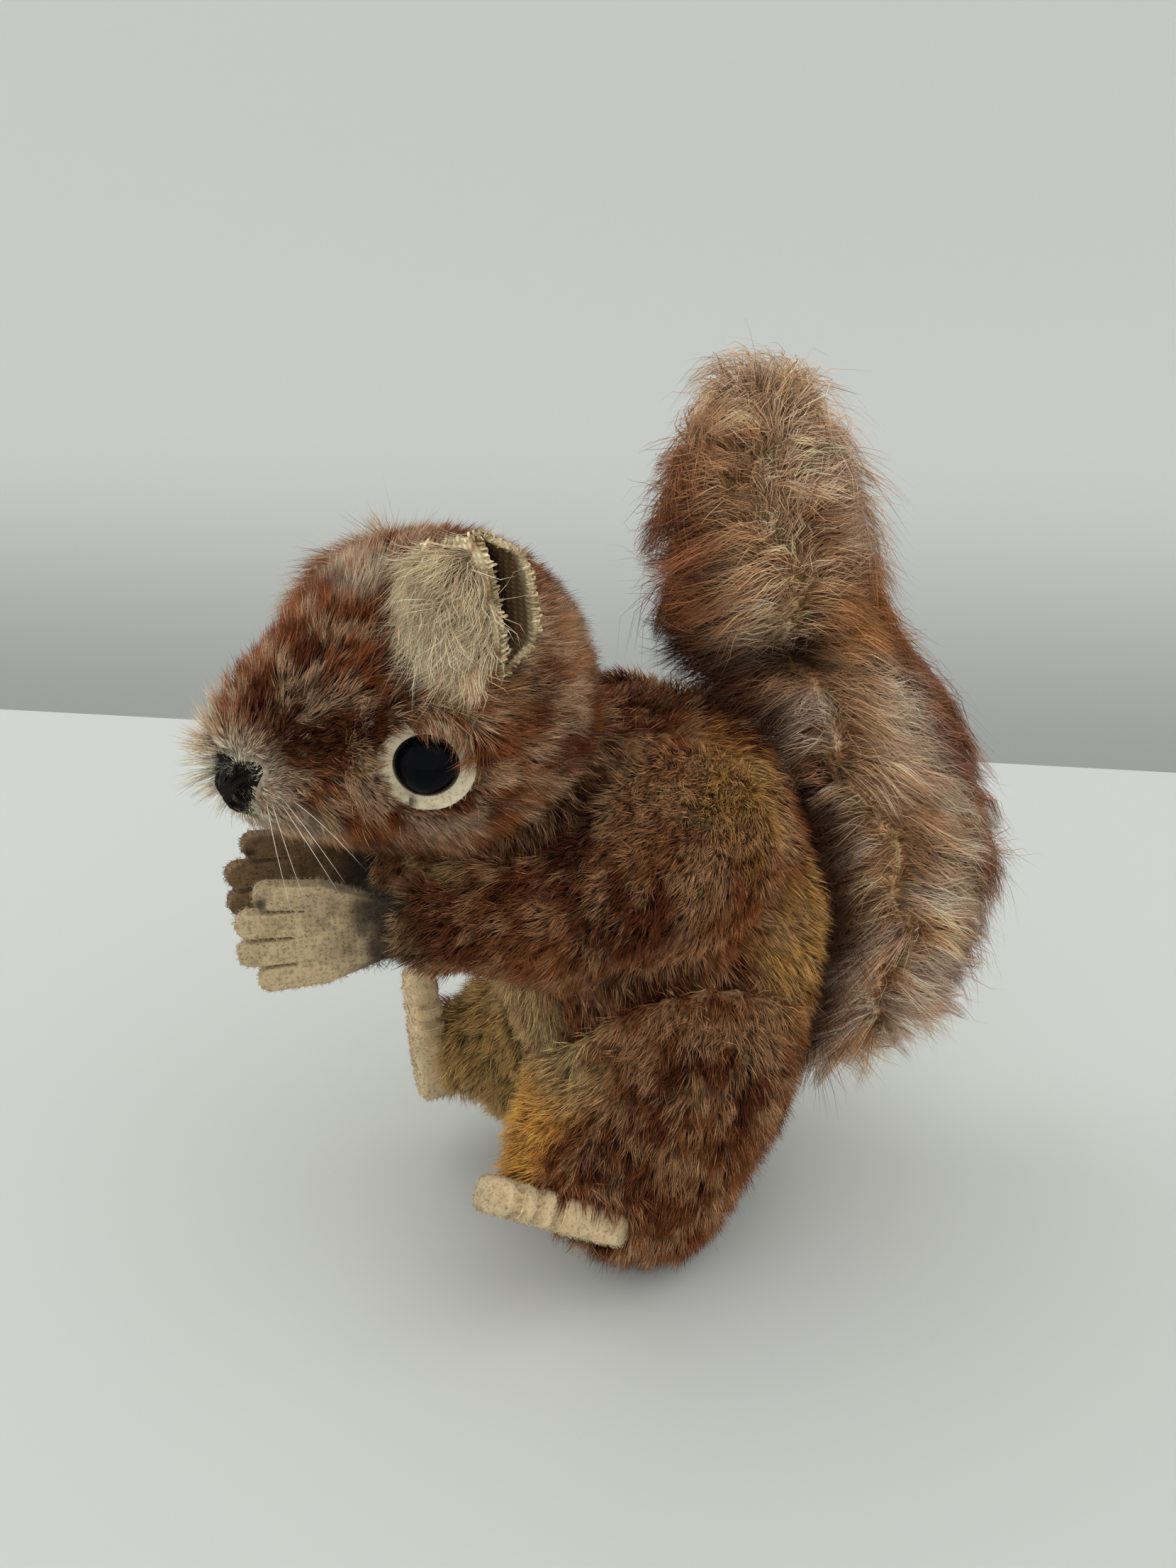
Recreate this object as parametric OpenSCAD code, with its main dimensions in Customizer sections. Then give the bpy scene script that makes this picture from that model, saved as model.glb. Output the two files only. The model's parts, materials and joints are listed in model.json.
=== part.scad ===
// A stuffed mohair squirrel that sits up and holds out its felt hands. Its head turns on a
// disc joint at the neck. It faces -Y, its own left side is +X, and the middle of its flat
// seat is the origin.

/* [Cloth] */
// Thickness of the short plush, its backing and its brushed pile together
plush_t = 3; // [2:0.25:3.5]
// Thickness of the long tail plush, backing and pile together
tail_plush_t = 5; // [4:0.5:6]
// Thickness of the plush where a neck disc draws it flat
neck_cloth_t = 1; // [0.6:0.1:1.2]
// Thickness of one layer of felt
felt_t = 2; // [1.6:0.1:2.2]
// Facets round a stuffed shape
cloth_fn = 20; // [16:2:24]

/* [Torso] */
// Height of the top of the back above the seat
torso_h = 81; // [79:1:83]
// Distance from the belly to the back
torso_d = 43; // [41:1:45]
// How deep the seat is pressed flat
seat_press = 2; // [1:0.5:3]

/* [Limbs] */
// Radius of a thigh
thigh_r = 16; // [15:0.5:17]
// Radius of a shoulder
shoulder_r = 14; // [13:0.5:15]
// Length of a felt hand, with the tab inside the wrist
hand_l = 25; // [23:1:27]
// Width of a felt hand across its fingers
hand_w = 14; // [12:1:16]
// Length of a foot
foot_l = 22; // [20:1:24]
// Width of a foot
foot_w = 10; // [8:1:11]

/* [Tail] */
// Height of the tail's tip above the seat
tail_h = 122; // [119:1:125]
// Breadth of the tail seen from the side
tail_w = 29; // [27:1:31]
// Thickness of the tail from left to right, as a part of its breadth
tail_flat = 0.78; // [0.7:0.02:0.9]

/* [Head] */
// Width of the skull
skull_w = 38; // [36:1:40]
// Width of the muzzle
muzzle_w = 20; // [18:1:21]
// Distance from the middle of the skull to the middle of the muzzle
muzzle_reach = 19; // [17:1:20]
// Turn of the head to its own left at rest, in degrees
head_turn = 12; // [0:1:16]
// Diameter of a glass eye
eye_d = 8; // [7:0.5:9]
// Diameter of the felt disc behind an eye
eye_felt_d = 12; // [11:0.5:13]
// Height of an ear above its foot
ear_h = 14; // [12:1:16]
// Width of an ear at its top
ear_w = 16; // [14:1:18]
// Length of a whisker
whisker_l = 13; // [10:1:16]

/* [Neck joint] */
// Lean of the neck axis towards the front, in degrees
neck_tilt = 33; // [31:1:35]
// Gap between head and torso at the neck
neck_gap = 0.2; // [0.1:0.05:0.4]
// Diameter of a cardboard neck disc
disc_d = 19; // [16:1:20]
// Thickness of a cardboard neck disc
disc_t = 1.4; // [1:0.1:1.8]
// Diameter of the split pin's doubled shank
pin_d = 1.6; // [1.2:0.1:2]
// Running clearance round the pin, on the radius
pin_clear = 0.05; // [0.03:0.01:0.1]

/* [Hidden] */

LEFT = 1;
RIGHT = -1;
SIDES = [LEFT, RIGHT];
far = 300;

PLUSH = [0.48, 0.28, 0.18];
TAIL_PLUSH = [0.66, 0.45, 0.30];
FELT = [0.80, 0.72, 0.55];
CREAM_FELT = [0.86, 0.82, 0.66];
WOOD_WOOL = [0.80, 0.70, 0.48];
CARD = [0.55, 0.45, 0.33];
STEEL = [0.60, 0.60, 0.62];
BLACK = [0.03, 0.03, 0.03];

// ---- shared shapes ----

// A stuffed form: a hull round balls given as [x, y, z, radius, width as a part of the radius].
// A positive shrink gives the form inside its cloth.
module blob(balls, shrink = 0)
    hull()
        for (b = balls)
            translate([b[0], b[1], b[2]])
                scale([b[4], 1, 1])
                    sphere(r = b[3] - shrink, $fn = cloth_fn);

module above(z)
    translate([-far / 2, -far / 2, z])
        cube(far);

module at_side(side)
    if (side == LEFT) children();
    else mirror([1, 0, 0]) children();

module ring(d, t, bore)
    difference() {
        cylinder(d = d, h = t, $fn = 48);
        translate([0, 0, -1]) cylinder(d = bore, h = t + 2, $fn = 32);
    }

// ---- neck frame ----

neck = [0, -24.5, torso_h - 6.4];

module at_neck()
    translate(neck)
        rotate([neck_tilt, 0, 0])
            children();

module turned_head()
    at_neck()
        rotate([0, 0, head_turn])
            rotate([-neck_tilt, 0, 0])
                translate(-neck)
                    children();

// ---- torso ----

torso_r = torso_d / 2;
seat_r = torso_r - 3.5;
back_r = torso_r - 3;
chest_r = 15;
torso_balls = [
    [0, 0, seat_r - seat_press, seat_r, 0.75],
    [0, 0, torso_h * 0.55, torso_r, 0.8],
    [0, -4, torso_h - back_r, back_r, 0.95],
    [0, -19.5, torso_h - chest_r, chest_r, 1]
];

module torso_shape(shrink, skin)
    difference() {
        intersection() {
            blob(torso_balls, shrink);
            above(skin);
        }
        at_neck() above(-neck_gap / 2 - skin);
    }

module torso_cover()
    color(PLUSH)
        difference() {
            torso_shape(0, 0);
            torso_shape(plush_t, neck_cloth_t);
            at_neck() torso_joint_space();
        }

module torso_stuffing()
    color(WOOD_WOOL)
        difference() {
            torso_shape(plush_t, neck_cloth_t);
            at_neck() torso_joint_space();
        }

// ---- legs ----

thigh_balls = [
    [9.5, -3.5, 2 * thigh_r + 1, thigh_r, 1],
    [10.5, -8.5, thigh_r - 4, thigh_r - 3, 0.95]
];
left_leg_balls = concat(thigh_balls, [[13, -20.5, 23, 9, 1]]);
right_leg_balls = concat(thigh_balls, [[14.5, -22, 20.5, 10, 1]]);

module leg_form(side, shrink)
    blob(side == LEFT ? left_leg_balls : right_leg_balls, shrink);

module leg_shape(side, shrink)
    difference() {
        intersection() {
            leg_form(side, shrink);
            above(0);
        }
        blob(torso_balls, -shrink);
    }

module leg_cover(side)
    color(PLUSH)
        difference() {
            at_side(side) leg_shape(side, 0);
            at_side(side) leg_shape(side, plush_t);
            foot_space(side);
        }

module leg_stuffing(side)
    color(WOOD_WOOL)
        difference() {
            at_side(side) leg_shape(side, plush_t);
            foot_space(side);
        }

// ---- arms ----

arm_z = 58;
wrist_r = 6;
arm_balls = [
    [9, -6.5, arm_z + 6, shoulder_r, 0.95],
    [12, -21.5, arm_z + 0.5, 9.5, 1],
    [9, -35, arm_z, wrist_r, 1]
];

module arm_shape(shrink)
    difference() {
        blob(arm_balls, shrink);
        blob(torso_balls, -shrink);
        blob(thigh_balls, -shrink);
    }

module arm_cover(side)
    color(PLUSH)
        at_side(side)
            difference() {
                arm_shape(0);
                arm_shape(plush_t);
                hand_blank();
            }

module arm_stuffing(side)
    color(WOOD_WOOL)
        at_side(side)
            difference() {
                arm_shape(plush_t);
                hand_blank();
            }

// ---- hands ----

finger_n = 4;
finger_w = hand_w / finger_n;
finger_l = hand_l * 0.36;
finger_fan = 3.5;
outer_finger_short = 2.2;
slit_w = 0.25;
wrist_w = 8;
hand_toe_in = -6;
hand_droop = -2;
hand_root = [8.5, -34.5, arm_z - 0.5];

// Finger i counts up from the lowest, 0. The fingers run towards -X of the cut outline.
module finger_outline(i) {
    place = i - (finger_n - 1) / 2;
    reach = finger_l - (abs(place) > 1 ? outer_finger_short : 0);
    translate([finger_l - hand_l, place * finger_w])
        rotate(-finger_fan * place)
            translate([finger_w / 2 - reach, 0]) {
                circle(d = finger_w - slit_w, $fn = 24);
                translate([0, (slit_w - finger_w) / 2]) square([reach, finger_w - slit_w]);
            }
}

module hand_outline()
    union() {
        for (i = [0 : finger_n - 1]) finger_outline(i);
        polygon([
            [0, -wrist_w / 2],
            [0, wrist_w / 2],
            [-hand_l * 0.3, wrist_w / 2],
            [finger_l - hand_l + 1, hand_w / 2],
            [finger_l - hand_l + 1, -hand_w / 2],
            [-hand_l * 0.3, -wrist_w / 2]
        ]);
    }

module hand_blank()
    translate(hand_root)
        rotate([90, 0, 90 + hand_toe_in])
            rotate([0, 0, hand_droop])
                linear_extrude(height = felt_t, center = true)
                    hand_outline();

module hand(side)
    color(FELT)
        at_side(side) hand_blank();

// ---- feet ----

// The left foot lies under its leg, sole down and rolled outwards.
// The right foot stands up in front of its leg, sole forwards.
left_foot = [19.5, -24.5, 18];
left_foot_lift = 32;
left_foot_roll = -32;
right_foot = [-17.5, -33, 22];
right_foot_lift = 87;
right_foot_roll = 0;
heel_r = foot_w * 0.38;
toe_r = foot_w / 2;
toe_n = 4;
toe_pitch = 3;
foot_room = 12;
thread_d = 0.5;
thread_turn = 1.2;

module foot_layer(z, t = felt_t)
    translate([0, 0, z])
        linear_extrude(height = t)
            hull() {
                translate([0, foot_l / 2 - heel_r]) circle(r = heel_r, $fn = 32);
                translate([0, toe_r - foot_l / 2]) circle(r = toe_r, $fn = 32);
            }

module at_foot(side)
    translate(side == LEFT ? left_foot : right_foot)
        rotate([side == LEFT ? -left_foot_lift : -right_foot_lift, 0, 0])
            rotate([0, side == LEFT ? left_foot_roll : right_foot_roll, 0])
                children();

// Both layers of felt with their stitches, and clear room beyond the sole
module foot_space(side)
    at_foot(side) {
        foot_layer(-foot_room, foot_room + felt_t);
        toe_thread();
    }

// Half the foot's width at a distance from the tip of its toes
function half_width(along) =
    along < toe_r ? sqrt(along * (2 * toe_r - along)) : toe_r;

// Stitches that wrap the rim of the felt and part the toes
module toe_thread()
    for (side = SIDES, i = [1 : toe_n - 1])
        translate([side * half_width(i * toe_pitch), i * toe_pitch - foot_l / 2, 0])
            cube([2 * thread_turn, thread_d, 2 * felt_t], center = true);

module foot_felt(side, z)
    color(FELT)
        at_foot(side)
            difference() {
                foot_layer(z);
                toe_thread();
            }

module toe_stitches(side)
    color(CARD)
        at_foot(side) toe_thread();

// ---- tail ----

tail_r = tail_w / 2;
tail_tip_r = 7;
tail_balls = [
    [0, 25.5, 18, 6, 1],
    [0, 31.5, 33, tail_r - 2.5, 1],
    [0, 32, 50, tail_r, 1],
    [0, 26.5, 71, tail_r - 2, 1],
    [0, 16, 84, tail_r - 3, 1],
    [0, 10.5, 94, tail_r, 1],
    [0, 8, 107, tail_r - 2.5, 1],
    [0, 7, tail_h - tail_tip_r, tail_tip_r, 1]
];

module tail_chain(shrink)
    scale([tail_flat, 1, 1])
        for (i = [0 : len(tail_balls) - 2])
            blob([tail_balls[i], tail_balls[i + 1]], shrink);

module tail_core()
    difference() {
        tail_chain(tail_plush_t);
        blob(torso_balls);
    }

// The tail is two side pieces, sewn together along its front and back edges
module tail_cover(side)
    color(TAIL_PLUSH)
        at_side(side)
            difference() {
                intersection() {
                    tail_chain(0);
                    translate([0, -far / 2, -far / 2]) cube(far);
                }
                tail_core();
                blob(torso_balls);
                blob(thigh_balls);
            }

module tail_stuffing()
    color(WOOD_WOOL)
        tail_core();

// ---- neck joint ----

washer_d = 6;
washer_t = 0.6;
loop_wire = 0.8;
loop_r = 1.6;
pin_leg_l = 5;
disc_z = neck_gap / 2 + neck_cloth_t;
washer_z = disc_z + disc_t;
joint_z = washer_z + washer_t;
turn_room = 0.2;

module pin_solid() {
    translate([0, 0, -joint_z - loop_wire])
        cylinder(d = pin_d, h = 2 * joint_z + loop_wire + turn_room, $fn = 32);
    translate([0, 0, joint_z + turn_room + loop_r])
        rotate([90, 0, 0])
            rotate_extrude($fn = 32)
                translate([loop_r, 0]) circle(d = loop_wire, $fn = 16);
    for (turn = [0, 180])
        rotate([0, 0, turn])
            translate([0, 0, -joint_z - loop_wire / 2])
                rotate([0, 90, 0])
                    cylinder(d = loop_wire, h = pin_leg_l, $fn = 16);
}

module torso_joint_space() {
    translate([0, 0, -washer_z]) cylinder(d = disc_d, h = disc_t, $fn = 48);
    translate([0, 0, -joint_z]) cylinder(d = washer_d, h = washer_t, $fn = 48);
    pin_solid();
}

module head_joint_space() {
    translate([0, 0, disc_z]) cylinder(d = disc_d, h = disc_t, $fn = 48);
    translate([0, 0, washer_z]) cylinder(d = washer_d, h = washer_t, $fn = 48);
    cylinder(r = loop_r + loop_wire, h = joint_z + 2 * loop_r + loop_wire + turn_room, $fn = 32);
}

module neck_split_pin()
    color(STEEL)
        at_neck() pin_solid();

module torso_neck_disc()
    color(CARD)
        at_neck() translate([0, 0, -washer_z]) ring(disc_d, disc_t, pin_d);

module torso_neck_washer()
    color(STEEL)
        at_neck() translate([0, 0, -joint_z]) ring(washer_d, washer_t, pin_d);

module head_neck_disc()
    color(CARD)
        at_neck() translate([0, 0, disc_z]) ring(disc_d, disc_t, pin_d + 2 * pin_clear);

module head_neck_washer()
    color(STEEL)
        at_neck() translate([0, 0, washer_z]) ring(washer_d, washer_t, pin_d + 2 * pin_clear);

// ---- head ----

skull_r = skull_w / 2;
skull = [0, -32.5, torso_h + 3.5];
muzzle_r = muzzle_w / 2;
muzzle = skull + [0, -muzzle_reach, -4];
skull_balls = [
    concat(skull, [skull_r, 1]),
    concat(muzzle, [muzzle_r, 1])
];

module head_shape(shrink, skin)
    intersection() {
        blob(skull_balls, shrink);
        at_neck() above(neck_gap / 2 + skin);
    }

module face_space() {
    for (side = SIDES)
        at_side(side) eye_space();
    nose_prism(muzzle_r);
}

module head_cover()
    color(PLUSH)
        difference() {
            turned_head() head_shape(0, 0);
            turned_head() head_shape(plush_t, neck_cloth_t);
            turned_head() face_space();
            at_neck() cylinder(d = pin_d + 1, h = 2 * joint_z, center = true, $fn = 32);
        }

module head_stuffing()
    color(WOOD_WOOL)
        difference() {
            turned_head() head_shape(plush_t, neck_cloth_t);
            turned_head() face_space();
            turned_head() eye_cord_solid();
            at_neck() head_joint_space();
        }

// ---- eyes ----

eye = [15.8, -40.5, torso_h + 0.5];
eye_out = 62;
eye_dip = 4;
eye_felt_t = 1;
loop_l = 4;
loop_eye_r = 1;
loop_d = 0.6;
cord_d = 0.6;

module at_eye()
    translate(eye)
        rotate([0, 90 + eye_dip, eye_out - 90])
            children();

module eye_space()
    at_eye() {
        translate([0, 0, -eye_felt_t]) cylinder(d = eye_felt_d, h = 3 * plush_t, $fn = 48);
        translate([0, 0, -loop_l - loop_eye_r - loop_d])
            cylinder(r = loop_eye_r + loop_d, h = loop_l + loop_eye_r, $fn = 24);
    }

module eye_felt(side)
    color(CREAM_FELT)
        turned_head() at_side(side) at_eye()
            translate([0, 0, -eye_felt_t]) ring(eye_felt_d, eye_felt_t, 2 * loop_d);

// A flat-backed bead, a little less than half a ball
module eye_bead(side)
    color(BLACK)
        turned_head() at_side(side) at_eye()
            intersection() {
                translate([0, 0, -eye_d * 0.18]) sphere(d = eye_d * 1.07, $fn = 48);
                cylinder(d = eye_d * 1.1, h = eye_d, $fn = 48);
            }

module eye_loop(side)
    color(STEEL)
        turned_head() at_side(side) at_eye()
            translate([0, 0, -loop_l]) {
                cylinder(d = loop_d, h = loop_l, $fn = 16);
                rotate([90, 0, 0])
                    rotate_extrude($fn = 24)
                        translate([loop_eye_r, 0]) circle(d = loop_d, $fn = 16);
            }

module eye_cord_solid()
    hull()
        for (side = SIDES)
            at_side(side) at_eye()
                translate([0, 0, -loop_l - loop_eye_r - loop_d - cord_d])
                    sphere(d = cord_d, $fn = 12);

module eye_cord()
    color(CREAM_FELT)
        turned_head() eye_cord_solid();

// ---- nose ----

nose_t = 3;
nose_sink = 1.4;
nose_drop = 1;
nose_corner_d = 2.6;
nose_corners = [[-3.4, 2.6], [3.4, 2.6], [0, -3.8]];

// A rounded triangle that goes in from the tip of the muzzle
module nose_prism(t)
    translate(muzzle + [0, nose_sink + nose_t - muzzle_r, -nose_drop])
        rotate([90, 0, 0])
            hull()
                for (c = nose_corners)
                    translate(c) cylinder(d = nose_corner_d, h = t, $fn = 24);

// The embroidery curves round the backing, so the pile stands proud all round it
module nose_stitching()
    color(BLACK)
        turned_head()
            intersection() {
                nose_prism(nose_t);
                translate(muzzle) sphere(r = muzzle_r - nose_sink, $fn = 48);
            }

// ---- ears ----

ear_t = 1.8;
ear_flat = 0.55;
ear_hollow = 0.62;
ear_slot = 4;
ear_foot = [14, -27, torso_h + 9];
ear_turn = [24, -12, 14];
laid_back = [62, -12, 14];

// A flattened cup of folded plush, open at its top and down its rear edge.
// The right ear has been laid back against the head.
module ear_solid(turn)
    translate(ear_foot)
        rotate(turn)
            difference() {
                intersection() {
                    scale([ear_flat, 1, 1])
                        cylinder(d1 = ear_w * 0.7, d2 = ear_w, h = ear_h, $fn = 40);
                    translate([0, 0, ear_h - ear_w / 2]) sphere(d = ear_w, $fn = 40);
                }
                translate([0, 0, -1])
                    scale([ear_flat * ear_hollow, 1, 1])
                        cylinder(d1 = ear_w * 0.7 - ear_t, d2 = ear_w - ear_t, h = ear_h + 2, $fn = 40);
                translate([1 - ear_slot / 2, 0, -1])
                    cube([ear_slot, ear_w, ear_h + 2]);
            }

module ear(side)
    color(TAIL_PLUSH)
        turned_head() at_side(side)
            difference() {
                ear_solid(side == LEFT ? ear_turn : laid_back);
                blob(skull_balls);
            }

// ---- whiskers ----

whisker_n = 5;
whisker_d = 0.25;
whisker_gap = 0.8;
whisker_fan = 6;
whisker_back = -14;
whisker_drop = 132;

module whiskers(side)
    color(CREAM_FELT)
        turned_head() at_side(side)
            difference() {
                for (i = [0 : whisker_n - 1])
                    translate(muzzle + [muzzle_r * 0.9, i * whisker_gap - 3, -muzzle_r * 0.42])
                        rotate([0, whisker_drop - whisker_fan * i, whisker_back + whisker_fan * i])
                            cylinder(d = whisker_d, h = whisker_l, $fn = 16);
                blob(skull_balls);
            }

// ---- one line per node ----

torso_cover();
torso_stuffing();
leg_cover(LEFT);  // left_leg_cover
leg_stuffing(LEFT);  // left_leg_stuffing
leg_cover(RIGHT);  // right_leg_cover
leg_stuffing(RIGHT);  // right_leg_stuffing
arm_cover(LEFT);  // left_arm_cover
arm_stuffing(LEFT);  // left_arm_stuffing
arm_cover(RIGHT);  // right_arm_cover
arm_stuffing(RIGHT);  // right_arm_stuffing
hand(LEFT);  // left_hand
hand(RIGHT);  // right_hand
foot_felt(LEFT, 0);  // left_foot_upper
foot_felt(LEFT, -felt_t);  // left_foot_sole
foot_felt(RIGHT, 0);  // right_foot_upper
foot_felt(RIGHT, -felt_t);  // right_foot_sole
toe_stitches(LEFT);  // left_toe_stitches
toe_stitches(RIGHT);  // right_toe_stitches
tail_cover(LEFT);  // tail_left_cover
tail_cover(RIGHT);  // tail_right_cover
tail_stuffing();
torso_neck_disc();
torso_neck_washer();
head_neck_disc();
head_neck_washer();
neck_split_pin();
head_cover();
head_stuffing();
ear(LEFT);  // left_ear
ear(RIGHT);  // right_ear
eye_felt(LEFT);  // left_eye_felt
eye_felt(RIGHT);  // right_eye_felt
eye_bead(LEFT);  // left_eye
eye_bead(RIGHT);  // right_eye
eye_loop(LEFT);  // left_eye_loop
eye_loop(RIGHT);  // right_eye_loop
eye_cord();
nose_stitching();
whiskers(LEFT);  // left_whiskers
whiskers(RIGHT);  // right_whiskers
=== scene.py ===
"""A stuffed mohair squirrel with felt hands and feet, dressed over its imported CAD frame.

The body, the head, the tail and the felt start as closed forms grown from the CAD nodes that
they cover, and the ears are sheets built on the axes of theirs. The pile is real geometry: thin
closed strands, rooted on those forms and coloured along their length. Lengths are in
millimetres until they meet Blender, where MM turns them into metres.
"""
import json
import math

import bmesh
import bpy
import numpy as np
from mathutils import Matrix, Vector
from mathutils.bvhtree import BVHTree
from mathutils.kdtree import KDTree


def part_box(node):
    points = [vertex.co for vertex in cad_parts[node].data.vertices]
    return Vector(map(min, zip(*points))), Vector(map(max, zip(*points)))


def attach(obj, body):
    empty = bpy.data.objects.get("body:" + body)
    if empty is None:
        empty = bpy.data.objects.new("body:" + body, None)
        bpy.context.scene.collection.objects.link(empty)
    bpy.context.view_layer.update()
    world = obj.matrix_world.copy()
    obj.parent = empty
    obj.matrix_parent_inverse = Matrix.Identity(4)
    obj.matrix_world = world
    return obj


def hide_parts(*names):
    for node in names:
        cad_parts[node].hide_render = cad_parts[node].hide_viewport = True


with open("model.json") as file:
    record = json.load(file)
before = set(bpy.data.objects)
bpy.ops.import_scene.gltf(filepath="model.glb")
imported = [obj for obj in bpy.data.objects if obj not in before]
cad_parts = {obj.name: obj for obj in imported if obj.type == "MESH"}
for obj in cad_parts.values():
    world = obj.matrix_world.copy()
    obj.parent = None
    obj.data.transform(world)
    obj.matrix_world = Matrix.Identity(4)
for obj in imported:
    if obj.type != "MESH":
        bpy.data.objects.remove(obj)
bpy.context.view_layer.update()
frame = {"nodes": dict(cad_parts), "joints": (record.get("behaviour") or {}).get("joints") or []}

MM = 0.001
SEED = 41
UP = np.array([0.0, 0.0, 1.0])
DOWN = -UP
FORWARD = np.array([0.0, -1.0, 0.0])
LEFT, RIGHT = 1, -1
SIDE_NAMES = {LEFT: "left", RIGHT: "right"}


# ---- small tools ----

def srgb(red, green, blue):
    """A colour given on the usual 0-255 scale, as linear light."""
    values = np.array([red, green, blue], float) / 255
    return np.where(values < 0.04045, values / 12.92, ((values + 0.055) / 1.055) ** 2.4)


def unit(vectors):
    """Rows of vectors, each with a length of one."""
    return vectors / np.maximum(np.linalg.norm(vectors, axis=-1, keepdims=True), 1e-9)


def mix(first, second, share):
    """Blends colours: all first where share is 0, and all second where it is 1."""
    share = np.asarray(share)[..., None]
    return first * (1 - share) + second * share


def ramp(values, start, end):
    """0 before start and 1 after end, with a smooth step between."""
    t = np.clip((values - start) / (end - start), 0, 1)
    return t * t * (3 - 2 * t)


NOISE_TABLE = 4096
NOISE_PRIMES = np.array([73856093, 19349663, 83492791])


def lattice_noise(points, size, seed):
    """Smooth noise from 0 to 1 whose lumps are about size millimetres across."""
    table = np.random.default_rng(seed).random(NOISE_TABLE)
    cell = points / (size * MM)
    base = np.floor(cell).astype(np.int64)
    part = cell - base
    part = part * part * (3 - 2 * part)
    total = np.zeros(len(points))
    for corner in range(8):
        step = np.array([corner & 1, corner >> 1 & 1, corner >> 2])
        weight = np.prod(np.where(step, part, 1 - part), axis=1)
        total += weight * table[(base + step) @ NOISE_PRIMES % NOISE_TABLE]
    return total


def vectors_of(items, attribute):
    flat = np.empty(len(items) * 3)
    items.foreach_get(attribute, flat)
    return flat.reshape(-1, 3)


def vertex_places(mesh):
    return vectors_of(mesh.vertices, "co")


def vertex_normals(mesh):
    return vectors_of(mesh.vertex_normals, "vector")


def move_vertices(mesh, places):
    mesh.vertices.foreach_set("co", places.ravel())
    mesh.update()


def node_places(*nodes):
    return np.concatenate([vertex_places(frame["nodes"][node].data) for node in nodes])


def node_middle(node):
    low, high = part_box(node)
    return np.array((low + high) / 2)


def rotation(angle, axis):
    """A turn by an angle in radians, for vectors on its right."""
    return np.array(Matrix.Rotation(angle, 3, Vector(axis)))


def gaps_to(tree, points):
    """How far points are from a surface, in metres."""
    return np.array([tree.find_nearest(Vector(point))[3] for point in points])


def main_axes(places):
    """The middle of some places, and their axes from the widest spread to the narrowest."""
    middle = places.mean(axis=0)
    return middle, np.linalg.svd(places - middle)[2]


def new_object(name, data):
    """Puts a mesh, a light or a camera into the scene."""
    piece = bpy.data.objects.new(name, data)
    bpy.context.scene.collection.objects.link(piece)
    return piece


def paint(mesh, colours):
    """Stores one colour a vertex, which the cloth materials read."""
    layer = mesh.color_attributes.new("tint", "FLOAT_COLOR", "POINT")
    rgba = np.ones((len(mesh.vertices), 4))
    rgba[:, :3] = np.clip(colours, 0, 1)
    layer.data.foreach_set("color", rgba.ravel())


# ---- the head's own frame ----

neck_joint = frame["joints"][0]
neck = np.array(neck_joint["pos_m"])
neck_axis = unit(np.array(neck_joint["axis"]))


def head_turn():
    """How far the head is turned at rest, read from the line between its eyes."""
    across = unit(node_middle("left_eye") - node_middle("right_eye"))
    ahead = np.cross(neck_axis, [1, 0, 0])
    return math.atan2(across @ ahead, across[0])


turned = rotation(head_turn(), neck_axis)


def straight(points):
    """Points on the head as they would be with the head facing straight ahead."""
    return (points - neck) @ turned + neck


def turn_with_head(vectors):
    return vectors @ turned.T


def back_on_head(points):
    """The opposite of straight."""
    return turn_with_head(points - neck) + neck


NOSE_SWING = math.radians(23)
NOSE_SHARE = 0.74
NOSE_DEPTH = 9 * MM


def swing_nose(points):
    """The embroidery is a little small, and to the toy's left of the middle of its muzzle."""
    swing = rotation(NOSE_SWING, UP)
    middle = straight(node_middle("nose_stitching"))
    muzzle = middle - NOSE_DEPTH * FORWARD
    small = middle + (straight(points) - middle) * np.array([NOSE_SHARE, 1, NOSE_SHARE])
    return back_on_head((small - muzzle) @ swing.T + muzzle)


nose_place = straight(swing_nose(node_middle("nose_stitching")))
nose_tree = BVHTree.FromPolygons(
    swing_nose(node_places("nose_stitching")).tolist(),
    [list(face.vertices) for face in frame["nodes"]["nose_stitching"].data.polygons],
)


# ---- materials ----

WARM_WHITE = (1.0, 0.76, 0.56, 1.0)
# A wave texture repeats every 2 pi / 20 of its scaled coordinate
WAVES_TO_BANDS = 2 * math.pi / 20


def add_node(tree, kind, inputs, operation=None):
    """A shader node. Each input gets a value, or a link from another node's output."""
    node = tree.nodes.new(f"ShaderNode{kind}")
    if operation:
        node.operation = operation
    for name, value in inputs.items():
        if isinstance(value, bpy.types.NodeSocket):
            tree.links.new(value, node.inputs[name])
        else:
            node.inputs[name].default_value = value
    return node


def node_material(name, roughness, sheen=0.0, specular=0.5):
    """A material with its shader, and the tree to add nodes to."""
    material = bpy.data.materials.new(name)
    material.use_nodes = True
    tree = material.node_tree
    shader = tree.nodes["Principled BSDF"]
    shader.inputs["Roughness"].default_value = roughness
    shader.inputs["Sheen Weight"].default_value = sheen
    shader.inputs["Specular IOR Level"].default_value = specular
    return material, tree, shader


def add_place(tree):
    return tree.nodes.new("ShaderNodeTexCoord").outputs["Object"]


def add_noise(tree, scale, stretch=None):
    """A noise texture on the piece's own coordinates. Scale is in lumps a metre."""
    source = add_place(tree)
    if stretch:
        source = add_node(tree, "Mapping", {"Vector": source, "Scale": stretch}).outputs["Vector"]
    noise = add_node(tree, "TexNoise", {"Vector": source, "Scale": scale, "Detail": 3.0})
    return noise.outputs["Fac"]


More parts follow.
